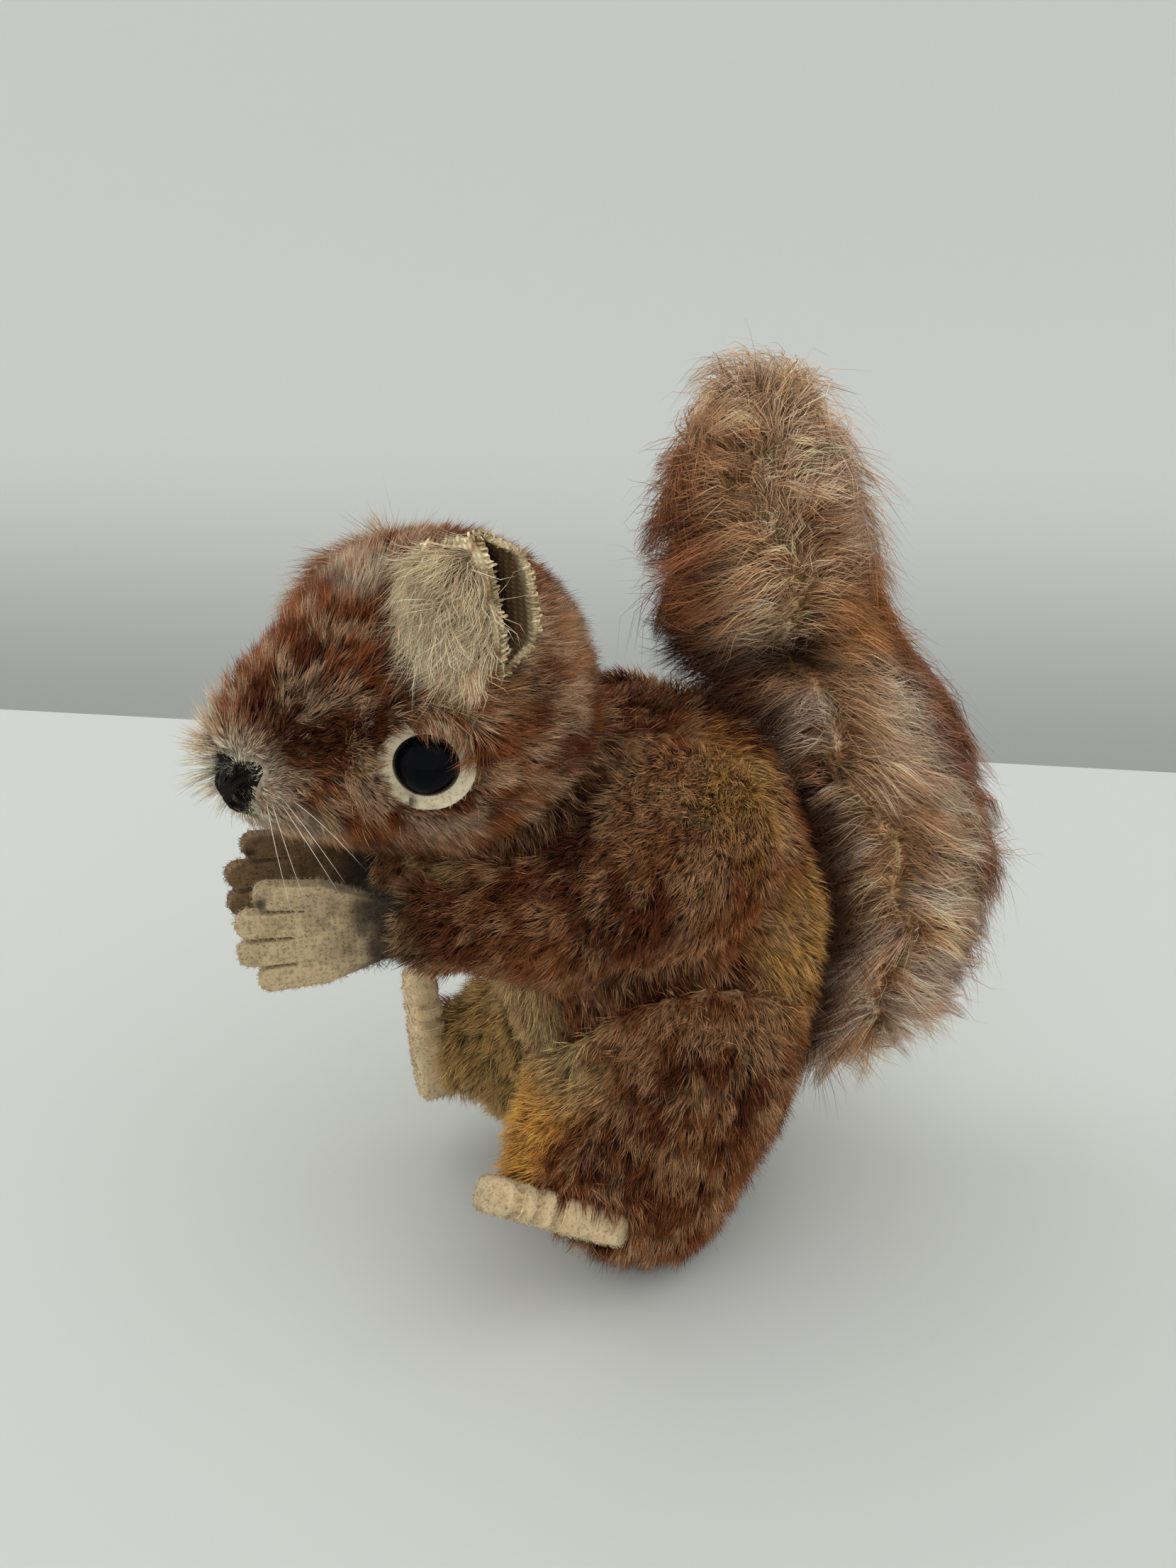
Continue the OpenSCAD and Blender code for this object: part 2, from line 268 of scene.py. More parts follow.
def add_shade(tree, value, start, end, low, high):
    """Carries a value from start to end over to a grey from low to high."""
    inputs = {"Value": value, "From Min": start, "From Max": end, "To Min": low, "To Max": high}
    return add_node(tree, "MapRange", inputs).outputs["Result"]


def add_bump(tree, shader, fac, depth):
    """Raises the surface by depth millimetres where fac is high."""
    bump = add_node(tree, "Bump", {"Height": fac, "Distance": depth * MM, "Strength": 0.6})
    tree.links.new(bump.outputs["Normal"], shader.inputs["Normal"])


def colour_with_tint(tree, shader, grey):
    """Gives a shader the piece's own vertex tint, multiplied by a grey."""
    tint = tree.nodes.new("ShaderNodeVertexColor")
    tint.layer_name = "tint"
    product = add_node(tree, "VectorMath", {0: tint.outputs["Color"], 1: grey}, "MULTIPLY")
    tree.links.new(product.outputs["Vector"], shader.inputs["Base Color"])


def colour_with_tones(tree, shader, fac, dark, light, start=0.0, end=1.0):
    """Gives a shader a colour that runs from dark, where fac is start, to light."""
    tones = add_node(tree, "ValToRGB", {"Fac": fac})
    first, last = tones.color_ramp.elements
    first.position, last.position = start, end
    first.color, last.color = (*dark, 1), (*light, 1)
    tree.links.new(tones.outputs["Color"], shader.inputs["Base Color"])


def tinted_material(name, roughness, grain, contrast, depth, sheen=0.0, specular=0.2):
    """A cloth whose colour is its own vertex tint, broken up by a grain of some size in mm."""
    material, tree, shader = node_material(name, roughness, sheen, specular)
    shader.inputs["Specular Tint"].default_value = WARM_WHITE
    fac = add_noise(tree, 1 / (grain * MM))
    colour_with_tint(tree, shader, add_shade(tree, fac, 0.3, 0.7, 1 - contrast, 1 + contrast))
    if depth:
        add_bump(tree, shader, fac, depth)
    return material


def woven_material(name, pitch):
    """A plain weave whose threads stand pitch millimetres apart, over its own vertex tint."""
    material, tree, shader = node_material(name, 0.9, specular=0.1)
    threads = {}
    for number, direction in enumerate("YZ"):
        inputs = {"Vector": add_place(tree), "Scale": WAVES_TO_BANDS / (pitch * MM), "Distortion": 1.2}
        wave = add_node(tree, "TexWave", inputs)
        wave.bands_direction = direction
        threads[number] = wave.outputs["Fac"]
    crossing = add_node(tree, "Math", threads, "MULTIPLY").outputs["Value"]
    colour_with_tint(tree, shader, add_shade(tree, crossing, 0, 1, 0.65, 1.2))
    add_bump(tree, shader, crossing, pitch / 2)
    return material


def grained_material(name, dark, light, roughness, grain, depth, metallic=0.0, stretch=None):
    """A plain stuff whose colour runs between two tones over a grain of some size in mm."""
    material, tree, shader = node_material(name, roughness)
    shader.inputs["Metallic"].default_value = metallic
    fac = add_noise(tree, 1 / (grain * MM), stretch)
    colour_with_tones(tree, shader, fac, dark, light, 0.35, 0.65)
    add_bump(tree, shader, fac, depth)
    return material


def glass_material():
    """Black boot-button glass, faintly scuffed."""
    material, tree, shader = node_material("black_glass", 0.05, specular=0.05)
    colour_with_tones(tree, shader, add_noise(tree, 900), srgb(2, 2, 3), srgb(9, 10, 14))
    return material


PILE = tinted_material("mohair_pile", 0.45, grain=2.0, contrast=0.12, depth=0, specular=0.16)
LONG_PILE = tinted_material("tail_pile", 0.36, grain=3.0, contrast=0.1, depth=0, specular=0.4)
BACKING = tinted_material("woven_backing", 0.9, grain=0.6, contrast=0.35, depth=0.3)
WEAVE = woven_material("ear_weave", 0.55)
FELT = tinted_material("wool_felt", 0.92, grain=0.45, contrast=0.08, depth=0.06, sheen=0.2)
YARN = tinted_material("yarn", 0.8, grain=0.4, contrast=0.3, depth=0.1)
NYLON = tinted_material("nylon", 0.25, grain=5.0, contrast=0.05, depth=0, specular=0.5)
GLASS = glass_material()
WOOD_WOOL = grained_material(
    "wood_wool", srgb(168, 132, 80), srgb(214, 184, 128), roughness=0.8, grain=1.5, depth=0.6,
    stretch=(1, 1, 0.3),
)
CARD = grained_material(
    "cardboard", srgb(110, 90, 66), srgb(146, 124, 94), roughness=0.95, grain=0.5, depth=0.05
)
STEEL = grained_material(
    "steel", srgb(120, 120, 122), srgb(170, 170, 172), roughness=0.35, grain=0.3, depth=0.01,
    metallic=1.0,
)
STRING = grained_material(
    "cotton_string", srgb(170, 158, 130), srgb(206, 196, 170), roughness=0.9, grain=0.3, depth=0.05
)


# By the endings of the names of the nodes inside the toy
HIDDEN_STUFFS = {
    "stuffing": WOOD_WOOL, "disc": CARD, "washer": STEEL, "pin": STEEL, "loop": STEEL,
    "eye_cord": STRING,
}


def dress_hidden_nodes():
    """The pieces inside the toy keep their CAD shapes and get their own stuff."""
    for node, piece in frame["nodes"].items():
        for ending, stuff in HIDDEN_STUFFS.items():
            if node.endswith(ending):
                piece.data.materials.clear()
                piece.data.materials.append(stuff)
                if stuff == STEEL:
                    piece.data.shade_smooth()


# ---- soft forms ----

def joined(nodes):
    """A bmesh of some CAD nodes, for its caller to free."""
    shell = bmesh.new()
    for node in nodes:
        shell.from_mesh(frame["nodes"][node].data)
    return shell


def closed_form(name, nodes, voxel, rounds):
    """One closed skin round some CAD nodes, smoothed some rounds. Voxel is in millimetres."""
    shell = joined(nodes)
    mesh = bpy.data.meshes.new(name)
    shell.to_mesh(mesh)
    shell.free()
    source = new_object(name, mesh)
    remesh = source.modifiers.new("even", "REMESH")
    remesh.mode = "VOXEL"
    remesh.voxel_size = voxel * MM
    smooth = source.modifiers.new("round", "SMOOTH")
    smooth.factor = 0.5
    smooth.iterations = rounds
    graph = bpy.context.evaluated_depsgraph_get()
    skin = bpy.data.meshes.new_from_object(source.evaluated_get(graph))
    bpy.data.meshes.remove(mesh)
    drop_inner_shells(skin)
    skin.name = name
    skin.shade_smooth()
    return skin


def islands(shell):
    """The connected groups of vertices of a bmesh, smallest first, in the same order each run."""
    seen = set()
    groups = []
    for first in shell.verts:
        if first in seen:
            continue
        seen.add(first)
        group = [first]
        for vertex in group:
            for edge in vertex.link_edges:
                other = edge.other_vert(vertex)
                if other not in seen:
                    seen.add(other)
                    group.append(other)
        groups.append(group)
    return sorted(groups, key=len)


def drop_inner_shells(mesh):
    """Keeps only the largest connected surface of a mesh."""
    shell = bmesh.new()
    shell.from_mesh(mesh)
    for group in islands(shell)[:-1]:
        bmesh.ops.delete(shell, geom=group, context="VERTS")
    shell.to_mesh(mesh)
    shell.free()


def sink(mesh, depth, neighbours=()):
    """Moves a skin inwards by depth millimetres, but not where it meets a neighbour."""
    places = vertex_places(mesh)
    share = np.ones(len(places))
    for tree in neighbours:
        share = np.minimum(share, ramp(gaps_to(tree, places), 0.5 * MM, 3.5 * MM))
    move_vertices(mesh, places - vertex_normals(mesh) * (depth * MM * share)[:, None])


def surface_tree(*nodes):
    """The outside of some CAD nodes, for measuring how near things are to it."""
    shell = joined(nodes)
    tree = BVHTree.FromBMesh(shell)
    shell.free()
    return tree


# ---- strands ----

STRAND_WAVES = 1.3
LOWEST_HAIR = 0.4 * MM
# A strand only joins its tuft where their tips are this near
TUFT_REACH = 4 * MM
# How far tufts, and the hairs in them, differ in degrees of lean and in shares of brightness
TUFT_LEAN, HAIR_LEAN = 9, 7
TUFT_SHADE, HAIR_SHADE = 0.112, 0.256
LEAN_LIMITS = (4, 84)
SHADE_LIMITS = (0.45, 1.7)
LENGTH_SPREAD = 0.12
WIDTH_SPREAD = 0.2
# A few stray hairs stand up longer and finer than the rest
STRAY_LENGTH = 1.35
STRAY_WIDTH = 0.6
STRAY_LIFT = 10


def strand_faces(points):
    """The faces of one strand: a cap on its root, its three sides, and its tip."""
    faces = [[2, 1, 0]]
    for ring in range(points - 2):
        for edge in range(3):
            low, high = ring * 3 + edge, ring * 3 + (edge + 1) % 3
            faces.append([low, high, high + 3, low + 3])
    top, tip = (points - 2) * 3, (points - 1) * 3
    return faces + [[top + edge, top + (edge + 1) % 3, tip] for edge in range(3)]


def on_rings(rings, tips):
    """One row a vertex: three for every ring of every strand, and one for its tip."""
    count, ring_count, width = rings.shape[0], rings.shape[1], rings.shape[-1]
    rings = np.broadcast_to(rings.reshape(count, ring_count, -1, width), (count, ring_count, 3, width))
    return np.concatenate([rings.reshape(count, -1, width), tips[:, None]], axis=1).reshape(-1, width)


def strand_mesh(name, paths, width, colours):
    """Closed, tapered, three-sided strands. Paths are strands x points x 3, in metres.

    width is in millimetres, the same for all or one a strand. colours fit the paths, or are one.
    """
    count, points, _ = paths.shape
    colours = np.broadcast_to(colours, paths.shape)
    along = unit(np.gradient(paths, axis=1))
    reference = np.where(np.abs(along[..., 2:]) < 0.8, UP, np.array([1.0, 0, 0]))
    side = unit(np.cross(along, reference))[:, :-1]
    over = np.cross(along[:, :-1], side)
    taper = 1 - np.linspace(0, 1, points)[:-1] ** 2.2
    radius = (np.broadcast_to(width, count)[:, None] * taper * MM / 2)[..., None]
    rings = np.stack([
        paths[:, :-1] + radius * (math.cos(angle) * side + math.sin(angle) * over)
        for angle in (0, 2 * math.pi / 3, 4 * math.pi / 3)
    ], axis=2)
    vertices = on_rings(rings, paths[:, -1])
    size = len(vertices) // count
    faces = strand_faces(points)
    one = np.concatenate(faces)
    corners = (one + size * np.arange(count)[:, None]).ravel()
    totals = np.tile([len(face) for face in faces], count)
    mesh = bpy.data.meshes.new(name)
    mesh.vertices.add(len(vertices))
    mesh.vertices.foreach_set("co", vertices.ravel())
    mesh.loops.add(len(corners))
    mesh.loops.foreach_set("vertex_index", corners)
    mesh.polygons.add(len(totals))
    mesh.polygons.foreach_set("loop_start", np.cumsum(totals) - totals)
    mesh.update(calc_edges=True)
    mesh.shade_smooth()
    paint(mesh, on_rings(colours[:, :-1], colours[:, -1]))
    add_bake_map(mesh, count, one, size, points)
    return mesh


def add_bake_map(mesh, count, one, size, points):
    """Gives each strand its own small cell of the baked picture, root below and tip above."""
    across = math.ceil(math.sqrt(count))
    ring = np.minimum(one // 3, points - 1)
    turn = np.where(one == size - 1, 0.5, (one % 3) / 2)
    inner = np.stack([0.25 + 0.5 * turn, 0.2 + 0.6 * ring / (points - 1)], axis=1)
    index = np.arange(count)
    cell = np.stack([index % across, index // across], axis=1)
    layer = mesh.uv_layers.new(name="OFBake")
    layer.data.foreach_set("uv", ((cell[:, None] + inner[None]) / across).ravel())


def scatter(mesh, count, rng):
    """Even random places on a mesh, with the smooth normal at each."""
    mesh.calc_loop_triangles()
    corners = np.empty(len(mesh.loop_triangles) * 3, np.int64)
    mesh.loop_triangles.foreach_get("vertices", corners)
    corners = corners.reshape(-1, 3)
    places = vertex_places(mesh)
    normals = vertex_normals(mesh)
    a, b, c = (places[corners[:, i]] for i in range(3))
    areas = np.linalg.norm(np.cross(b - a, c - a), axis=1)
    pick = rng.choice(len(corners), count, p=areas / areas.sum())
    u, v = rng.random((2, count, 1))
    over = u + v > 1
    u = np.where(over, 1 - u, u)
    v = np.where(over, 1 - v, v)
    point = a[pick] * (1 - u - v) + b[pick] * u + c[pick] * v
    first, second, third = (normals[corners[pick, i]] for i in range(3))
    return point, unit(first * (1 - u - v) + second * u + third * v)


def nearest_tuft(points, tufts):
    """The number of the tuft nearest to each point."""
    tree = KDTree(len(tufts))
    for index, tuft in enumerate(tufts):
        tree.insert(tuft, index)
    tree.balance()
    return np.array([tree.find(point)[1] for point in points])


def along_strand(points):
    """0 at the root of a strand to 1 at its tip, shaped to multiply paths."""
    return np.linspace(0, 1, points)[None, :, None]


def bowed_paths(roots, normals, way, tilt, reach, points, bend):
    """Paths that leave their roots steeply and bow over, round a skin of radius bend."""
    t = along_strand(points)
    rise = np.cos(tilt)[:, None, None] * (t - 0.18 * t * t)
    run = np.sin(tilt)[:, None, None] * (0.7 * t + 0.3 * t * t)
    far = (reach * MM)[:, None, None]
    paths = roots[:, None] + far * (rise * normals[:, None] + run * way[:, None])
    if bend:
        paths -= (far * run) ** 2 / (2 * bend * MM) * normals[:, None]
    return paths


def curl(paths, across, phase, wave, droop):
    """Waves the strands from side to side and lets their tips hang."""
    t = along_strand(paths.shape[1])
    phase = phase[:, None, None]
    swing = np.sin(phase + t * STRAND_WAVES * 2 * math.pi) - np.sin(phase)
    paths += across[:, None] * swing * t * wave * MM
    paths += DOWN * t * t * droop * MM


def gather_tufts(paths, leaders, tuft, stray, gather):
    """Draws the strands of a tuft towards their leader, most at the tips."""
    t = along_strand(paths.shape[1])
    leader = paths[leaders][tuft]
    near = np.linalg.norm(leader[:, -1] - paths[:, -1], axis=1) < TUFT_REACH
    paths += (leader - paths) * (gather * t * t * (near * (1 - 0.8 * stray))[:, None, None])


def value_at(rule, roots, normals):
    """A rule is one value for all, or a function of the roots and normals."""
    return rule(roots, normals) if callable(rule) else rule


def coat(
    name, skin, colour, seed, flow, count, length, lean, width=0.12, points=3, wave=0.0,
    droop=0.0, bend=None, tousle=0.3, tuft_size=10, gather=0.3, uneven=0.1, strays=0.015, keep=None,
):
    """Pile on a skin.

    length is in millimetres, lean is the tilt from upright in degrees, and flow is the way the
    pile lies, each as a rule for value_at. colour gives the root, middle and tip colours. wave
    and droop are in millimetres at the tip. bend is the radius in millimetres of a skin that
    the strands follow round. keep tells which roots are wanted.
    """
    rng = np.random.default_rng(SEED + seed)
    roots, normals = scatter(skin, count, rng)
    if keep:
        wanted = keep(roots, normals)
        roots, normals = roots[wanted], normals[wanted]
    count = len(roots)
    leaders = rng.choice(count, max(1, count // tuft_size), replace=False)
    tuft = nearest_tuft(roots, roots[leaders])

    def spread(of_tufts, of_hairs, *shape):
        """Random numbers that the hairs of a tuft share in part."""
        shared = rng.normal(0, of_tufts, (len(leaders), *shape))[tuft]
        return shared + rng.normal(0, of_hairs, (count, *shape))

    tilt = value_at(lean, roots, normals) + spread(TUFT_LEAN, HAIR_LEAN)
    way = unit(value_at(flow, roots, normals)) + spread(tousle, 0.7 * tousle, 3)
    brightness = 1 + spread(TUFT_SHADE, HAIR_SHADE)
    phase = rng.uniform(0, 2 * math.pi, len(leaders))[tuft] + rng.normal(0, 0.5, count)
    reach = value_at(length, roots, normals) * rng.normal(1, LENGTH_SPREAD, count)
    reach = reach * rng.normal(1, uneven, len(leaders))[tuft]
    stray = rng.random(count) < strays
    reach = np.where(stray, reach * STRAY_LENGTH, reach)
    tilt = np.radians(np.clip(tilt - STRAY_LIFT * stray, *LEAN_LIMITS))
    way = unit(way - normals * np.sum(way * normals, axis=1, keepdims=True))
    paths = bowed_paths(roots, normals, way, tilt, reach, points, bend)
    curl(paths, np.cross(normals, way), phase, wave, droop)
    gather_tufts(paths, leaders, tuft, stray, gather)
    paths[..., 2] = np.maximum(paths[..., 2], LOWEST_HAIR)
    root, middle, tip = colour(paths[:, 0], paths[:, points // 2], paths[:, -1], normals, rng)
    t = along_strand(points)
    lower, upper = np.clip(2 * t, 0, 1), np.clip(2 * t - 1, 0, 1)
    shades = root[:, None] + (middle - root)[:, None] * lower + (tip - middle)[:, None] * upper
    shades = shades * np.clip(brightness, *SHADE_LIMITS)[:, None, None]
    widths = width * np.clip(rng.normal(1, WIDTH_SPREAD, count), 0.5, 1.6)
    return strand_mesh(name, paths, widths * np.where(stray, STRAY_WIDTH, 1), shades)


def place(mesh, material, body, slot, *nodes):
    """Makes a piece of a mesh, under its name and on its body, for the CAD nodes named."""
    mesh.materials.append(material)
    piece = new_object(mesh.name, mesh)
    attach(piece, body)
    if nodes:
        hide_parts(*nodes)
    return piece


# ---- colours of the dyed mohair ----

TAN = srgb(202, 166, 122)
CREAM = srgb(226, 212, 186)
IVORY = srgb(240, 215, 179)
# Only used for painted highlights on the tail
PEARL_HIGHLIGHT = srgb(244, 214, 190)
RUST = srgb(138, 77, 43)
BARK = srgb(98, 52, 29)
UMBER = srgb(46, 22, 14)
OCHRE = srgb(204, 156, 86)
GOLD = srgb(255, 184, 96)
OLIVE = srgb(202, 164, 104)
BLOND = srgb(214, 182, 130)
SAND = srgb(214, 166, 122)
PEACH = srgb(234, 200, 164)
ROSE = srgb(220, 184, 148)
COCOA = srgb(162, 100, 60)
AMBER = srgb(176, 112, 50)
FELT_BEIGE = srgb(208, 184, 144)
# Felt darkened by painted shade and some dirt, for the far hand
FELT_SHADED = srgb(128, 102, 70)
FELT_CREAM = srgb(226, 210, 178)
SMUDGE = srgb(62, 47, 38)
SOOT = srgb(16, 14, 14)
ASH = srgb(120, 114, 104)
WEAVE_PALE = srgb(222, 202, 162)
WEAVE_BROWN = srgb(148, 118, 82)
NYLON_WHITE = srgb(226, 216, 196)

# Patches that age and the airbrush left, and painted shade in two creases, as (place, radius, colour,
# share), lengths in mm.
# Each is on the toy's left, and is repeated on its right.
BODY_PATCHES = [
    ((14, 3, 73), 11, OCHRE, 0.8),
    ((12, 14, 48), 15, OCHRE, 0.8),
    ((12, 9, 65), 6, TAN, 0.5),
    ((15, -12, 75), 10, TAN, 0.3),
    ((22, -5, 66), 6, TAN, 0.45),
    ((20, 4, 41), 7, TAN, 0.45),
    # Painted shade in the crease under the arm, and in the one above the arm and below the head
    ((16, -13, 50), 6, UMBER, 0.8),
    ((13, -20, 72), 8, UMBER, 0.8),
    ((23, -9, 37), 8, BARK, 0.7),
    ((11, -41, 57), 9, SMUDGE, 0.85),
    ((14, -33, 61), 9, BARK, 0.6),
]
HEAD_PATCHES = [
    ((10, -53, 86), 7, UMBER, 0.85),
    ((9, -52, 89), 6, BARK, 0.9),
    ((13, -47, 83), 3, TAN, 0.6),
    ((13, -40, 74), 4, CREAM, 0.3),
    ((14, -43, 91), 3, UMBER, 0.9),
    ((4, -43, 100), 5, CREAM, 0.7),
    ((8, -40, 100), 3, RUST, 0.8),
    ((16, -38, 90), 6, COCOA, 0.7),
    ((18, -32, 90), 6, TAN, 0.3),
    ((13, -21, 92), 8, SAND, 0.4),
    ((15, -23, 80), 8, BARK, 0.9),
    ((6, -53, 74), 5, CREAM, 0.35),
]


def patched(points, colour, patches):
    """Blends the patches into a colour field, the same on both sides."""
    here = points / MM
    here[:, 0] = np.abs(here[:, 0])
    ragged = 1 + 0.5 * (lattice_noise(points, 2.2, 5) - 0.5)
    for place_mm, radius, dye, share in patches:
        gap = np.linalg.norm(here - np.array(place_mm), axis=1) * ragged
        colour = mix(colour, dye, share * (1 - ramp(gap, 0.35 * radius, radius)))
    return colour


def mottle(points, coarse, fine, seed):
    """Noise from 0 to 1 with lumps of two sizes in millimetres."""
    return 0.6 * lattice_noise(points, coarse, seed) + 0.4 * lattice_noise(points, fine, seed + 1)


def faded_brown(points, sizes, start, end, cocoa, seed):
    """Dark brown that fades to rust in lumps of two sizes, and to a share of cocoa in others."""
    dye = mix(BARK, RUST, ramp(mottle(points, *sizes, seed), start, end))
    share, cocoa_sizes, cocoa_start, cocoa_end = cocoa
    return mix(dye, COCOA, share * ramp(mottle(points, *cocoa_sizes, seed + 6), cocoa_start, cocoa_end))


def dyed(dye, base, worn_above, fading, roots, rng):
    """Root, middle and tip of pale mohair whose tips took the dye, with painted shade on the root.

    Tufts where a fine noise is over worn_above have lost fading of their dye.
    """
    jitter = np.clip(rng.normal(1, 0.18, len(dye)), 0.5, 1.6)[:, None]
    worn = fading * ramp(mottle(roots, 2.2, 0.9, 91), worn_above - 0.06, worn_above + 0.06)
    worn = np.where(rng.random(len(dye)) < 0.03, 0.6, worn)
    tip = mix(dye, base, worn) * jitter
    middle = mix(tip, base * 0.7, 0.5 * worn)
    # Painted shade: the root is half as bright as the middle
    return middle * 0.5, middle, tip


def body_colour(roots, middles, tips, normals, rng):
    """Faded brown with its patches, painted crease shade among them, and blond down the belly."""
    dye = faded_brown(roots, (9, 3), 0.35, 0.65, (0.7, (6, 2), 0.5, 0.65), 11)
    dye = patched(roots, dye, BODY_PATCHES)
    belly = ramp(-normals[:, 1], 0.4, 0.8) * ramp(13 * MM - np.abs(roots[:, 0]), 0, 6 * MM)
    dye = mix(dye, BLOND, 0.85 * belly)
    return dyed(dye, SAND, 0.56, 0.42, roots, rng)


def leg_colour(side, low_panel, panel_floor):
    """Dark outside and behind. The panel inside and in front is pale above its floor in mm."""
    def colour(roots, middles, tips, normals, rng):
        inner = -0.75 * side * normals[:, 0] - 0.7 * normals[:, 1]
        edge = 0.14 * (lattice_noise(roots, 3, 23) - 0.5)
        inside = ramp(inner + edge, -0.2, 0.02) * (1 - ramp(roots[:, 1], -19 * MM, -13 * MM))
        inside *= ramp(roots[:, 2] / MM, panel_floor - 3, panel_floor + 2)
        dye = faded_brown(roots, (8, 3), 0.35, 0.65, (0.6, (6, 2), 0.5, 0.65), 31)
        dye = patched(roots, dye, BODY_PATCHES)
        high = ramp(roots[:, 2], 27 * MM, 38 * MM)
        panel = mix(low_panel, BLOND, np.clip(high + 0.6 * (lattice_noise(roots, 4, 29) - 0.5), 0, 1))
        dye = mix(dye, panel, inside)
        return dyed(dye, mix(SAND, panel, inside), 0.55, 0.6, roots, rng)
    return colour


def head_colour(roots, middles, tips, normals, rng):
    """The body's brown in smaller lumps, with its patches, and cream round the nose."""
    face = straight(roots)
    dye = faded_brown(face, (5, 1.8), 0.42, 0.66, (0.8, (4, 1.5), 0.48, 0.64), 41)
    dye = patched(face, dye, HEAD_PATCHES)
    nose_gap = np.linalg.norm(face - nose_place, axis=1) - 4.5 * MM * far_cheek(roots)
    dye = mix(CREAM, dye, ramp(nose_gap, 3 * MM, 7.5 * MM))
    return dyed(dye * 1.08, ROSE, 0.56, 0.6, roots, rng)


def ear_colour(dye):
    """An ear's dye, sandy in patches, worn pale at the tips."""
    def colour(roots, middles, tips, normals, rng):
        shade = mix(dye, SAND, 0.6 * ramp(mottle(roots, 3, 1.2, 53), 0.45, 0.75))
        return dyed(shade * 1.12, IVORY, 0.5, 0.7, roots, rng)
    return colour


def tail_colour(roots, middles, tips, normals, rng):
    """Sand along the middle of each side, rust at the edges and amber at the kink, with painted
    highlights, painted shadow under the kink and painted shade in the crease by the body.
    """
    def dye_at(points):
        offset = tail_offset(points) / MM
        height = points[:, 2] / MM
        patch = mottle(points, 8, 2, 61)
        dye = mix(SAND, PEACH, ramp(patch, 0.42, 0.62))
        above = ramp(height, TAIL_KINK - 10, TAIL_KINK)
        dye = mix(dye, COCOA, (0.1 + 0.35 * above) * ramp(mottle(points, 6, 2, 67), 0.45, 0.65))
        fringe = ramp(np.abs(offset) + 4 * (patch - 0.5), 8.5, 12)
        rim = ramp(np.abs(normals[:, 1]) + 0.5 * (patch - 0.5), 0.5, 0.85)
        # Pale streaks of painted highlight, as sheen on the locks
        sheen_streaks = ramp(mottle(points, 7, 1.5, 77), 0.42, 0.6) * (1 - above)
        dye = mix(dye, PEARL_HIGHLIGHT, 0.85 * sheen_streaks)
        # A painted silver highlight behind the parting on the upper tail
        silver_highlight = ramp(offset, 4, 9) * ramp(height, TAIL_KINK + 6, TAIL_KINK + 12)
        dye = mix(dye, PEARL_HIGHLIGHT, 0.5 * silver_highlight)
        dye = mix(dye, RUST, 0.92 * np.maximum(fringe, rim) * (1 - 0.75 * silver_highlight))
        amber = 1 - ramp(np.abs(height - TAIL_KINK - 4), 2, 8)
        dye = mix(dye, AMBER, 0.65 * amber * ramp(offset + 8 * (patch - 0.5), -2, 5))
        # Painted shadow under the overhang at the kink, with some airbrushed dark
        shadow = 1 - ramp(np.abs(height - TAIL_KINK + 1 + 4 * (patch - 0.5)), 1.5, 5)
        dye = mix(dye, UMBER, 0.9 * shadow * (1 - ramp(offset, 0, 8)))
        # Painted shade in the crease where the tail meets the body
        crease_shade = ramp(-offset, 8, 10.5) * (1 - ramp(height, TAIL_KINK - 8, TAIL_KINK))
        dye = mix(dye, UMBER, 0.88 * crease_shade)
        return mix(dye, PEACH, 0.15 * ramp(height + 4 * (patch - 0.5), 111, 118))
    jitter = np.clip(rng.normal(1, 0.18, len(roots)), 0.4, 1.9)[:, None]
    # Painted highlight brightens the strands' middles in lumps, and painted shade darkens the roots
    painted_highlight = 0.9 + 0.8 * ramp(mottle(middles, 2.5, 0.9, 93), 0.52, 0.7)[:, None]
    return dye_at(roots) * 0.7, dye_at(middles) * jitter * painted_highlight, dye_at(tips) * jitter


# ---- the way the pile lies ----

TAIL_COVERS = ("tail_left_cover", "tail_right_cover")
TAIL_KINK = 87
TAIL_CAP = 110


def tail_middle_line():
    """The middle of the tail from front to back, at heights from its root to its tip."""
    places = node_places(*TAIL_COVERS)
    heights = np.linspace(places[:, 2].min(), places[:, 2].max(), 23)
    middles = []
    for height in heights:
        near = places[np.abs(places[:, 2] - height) < 6 * MM]
        middles.append((near[:, 1].min() + near[:, 1].max()) / 2)
    return heights, np.array(middles)


tail_heights, tail_middles = tail_middle_line()


def tail_offset(points):
    """How far a point is behind the middle line of the tail, or in front where negative."""
    return points[:, 1] - np.interp(points[:, 2], tail_heights, tail_middles)


def tail_flow(points, normals):
    """Out from a wandering parting on each side, which is nearer the front below the kink."""
    below = 1 - ramp(points[:, 2] / MM, TAIL_KINK - 8, TAIL_KINK)
    wander = 6 * (lattice_noise(points, 6, 73) - 0.5)
    from_parting = tail_offset(points) / MM + wander + 2.5 * below
    out = np.tanh(from_parting / 4)[:, None] * np.array([0, 1.0, 0])
    rise = 0.45 - 0.35 * below + 0.4 * ramp(points[:, 2] / MM, TAIL_CAP - 6, TAIL_CAP + 6)
    return out + rise[:, None] * UP


def tail_lean(points, normals):
    """Flat on the sides, and nearly upright on the cap of the tip."""
    cap = ramp(points[:, 2], (TAIL_CAP - 2) * MM, (TAIL_CAP + 6) * MM) * ramp(normals[:, 2], 0.2, 0.8)
    return 60 * (1 - 0.45 * cap)


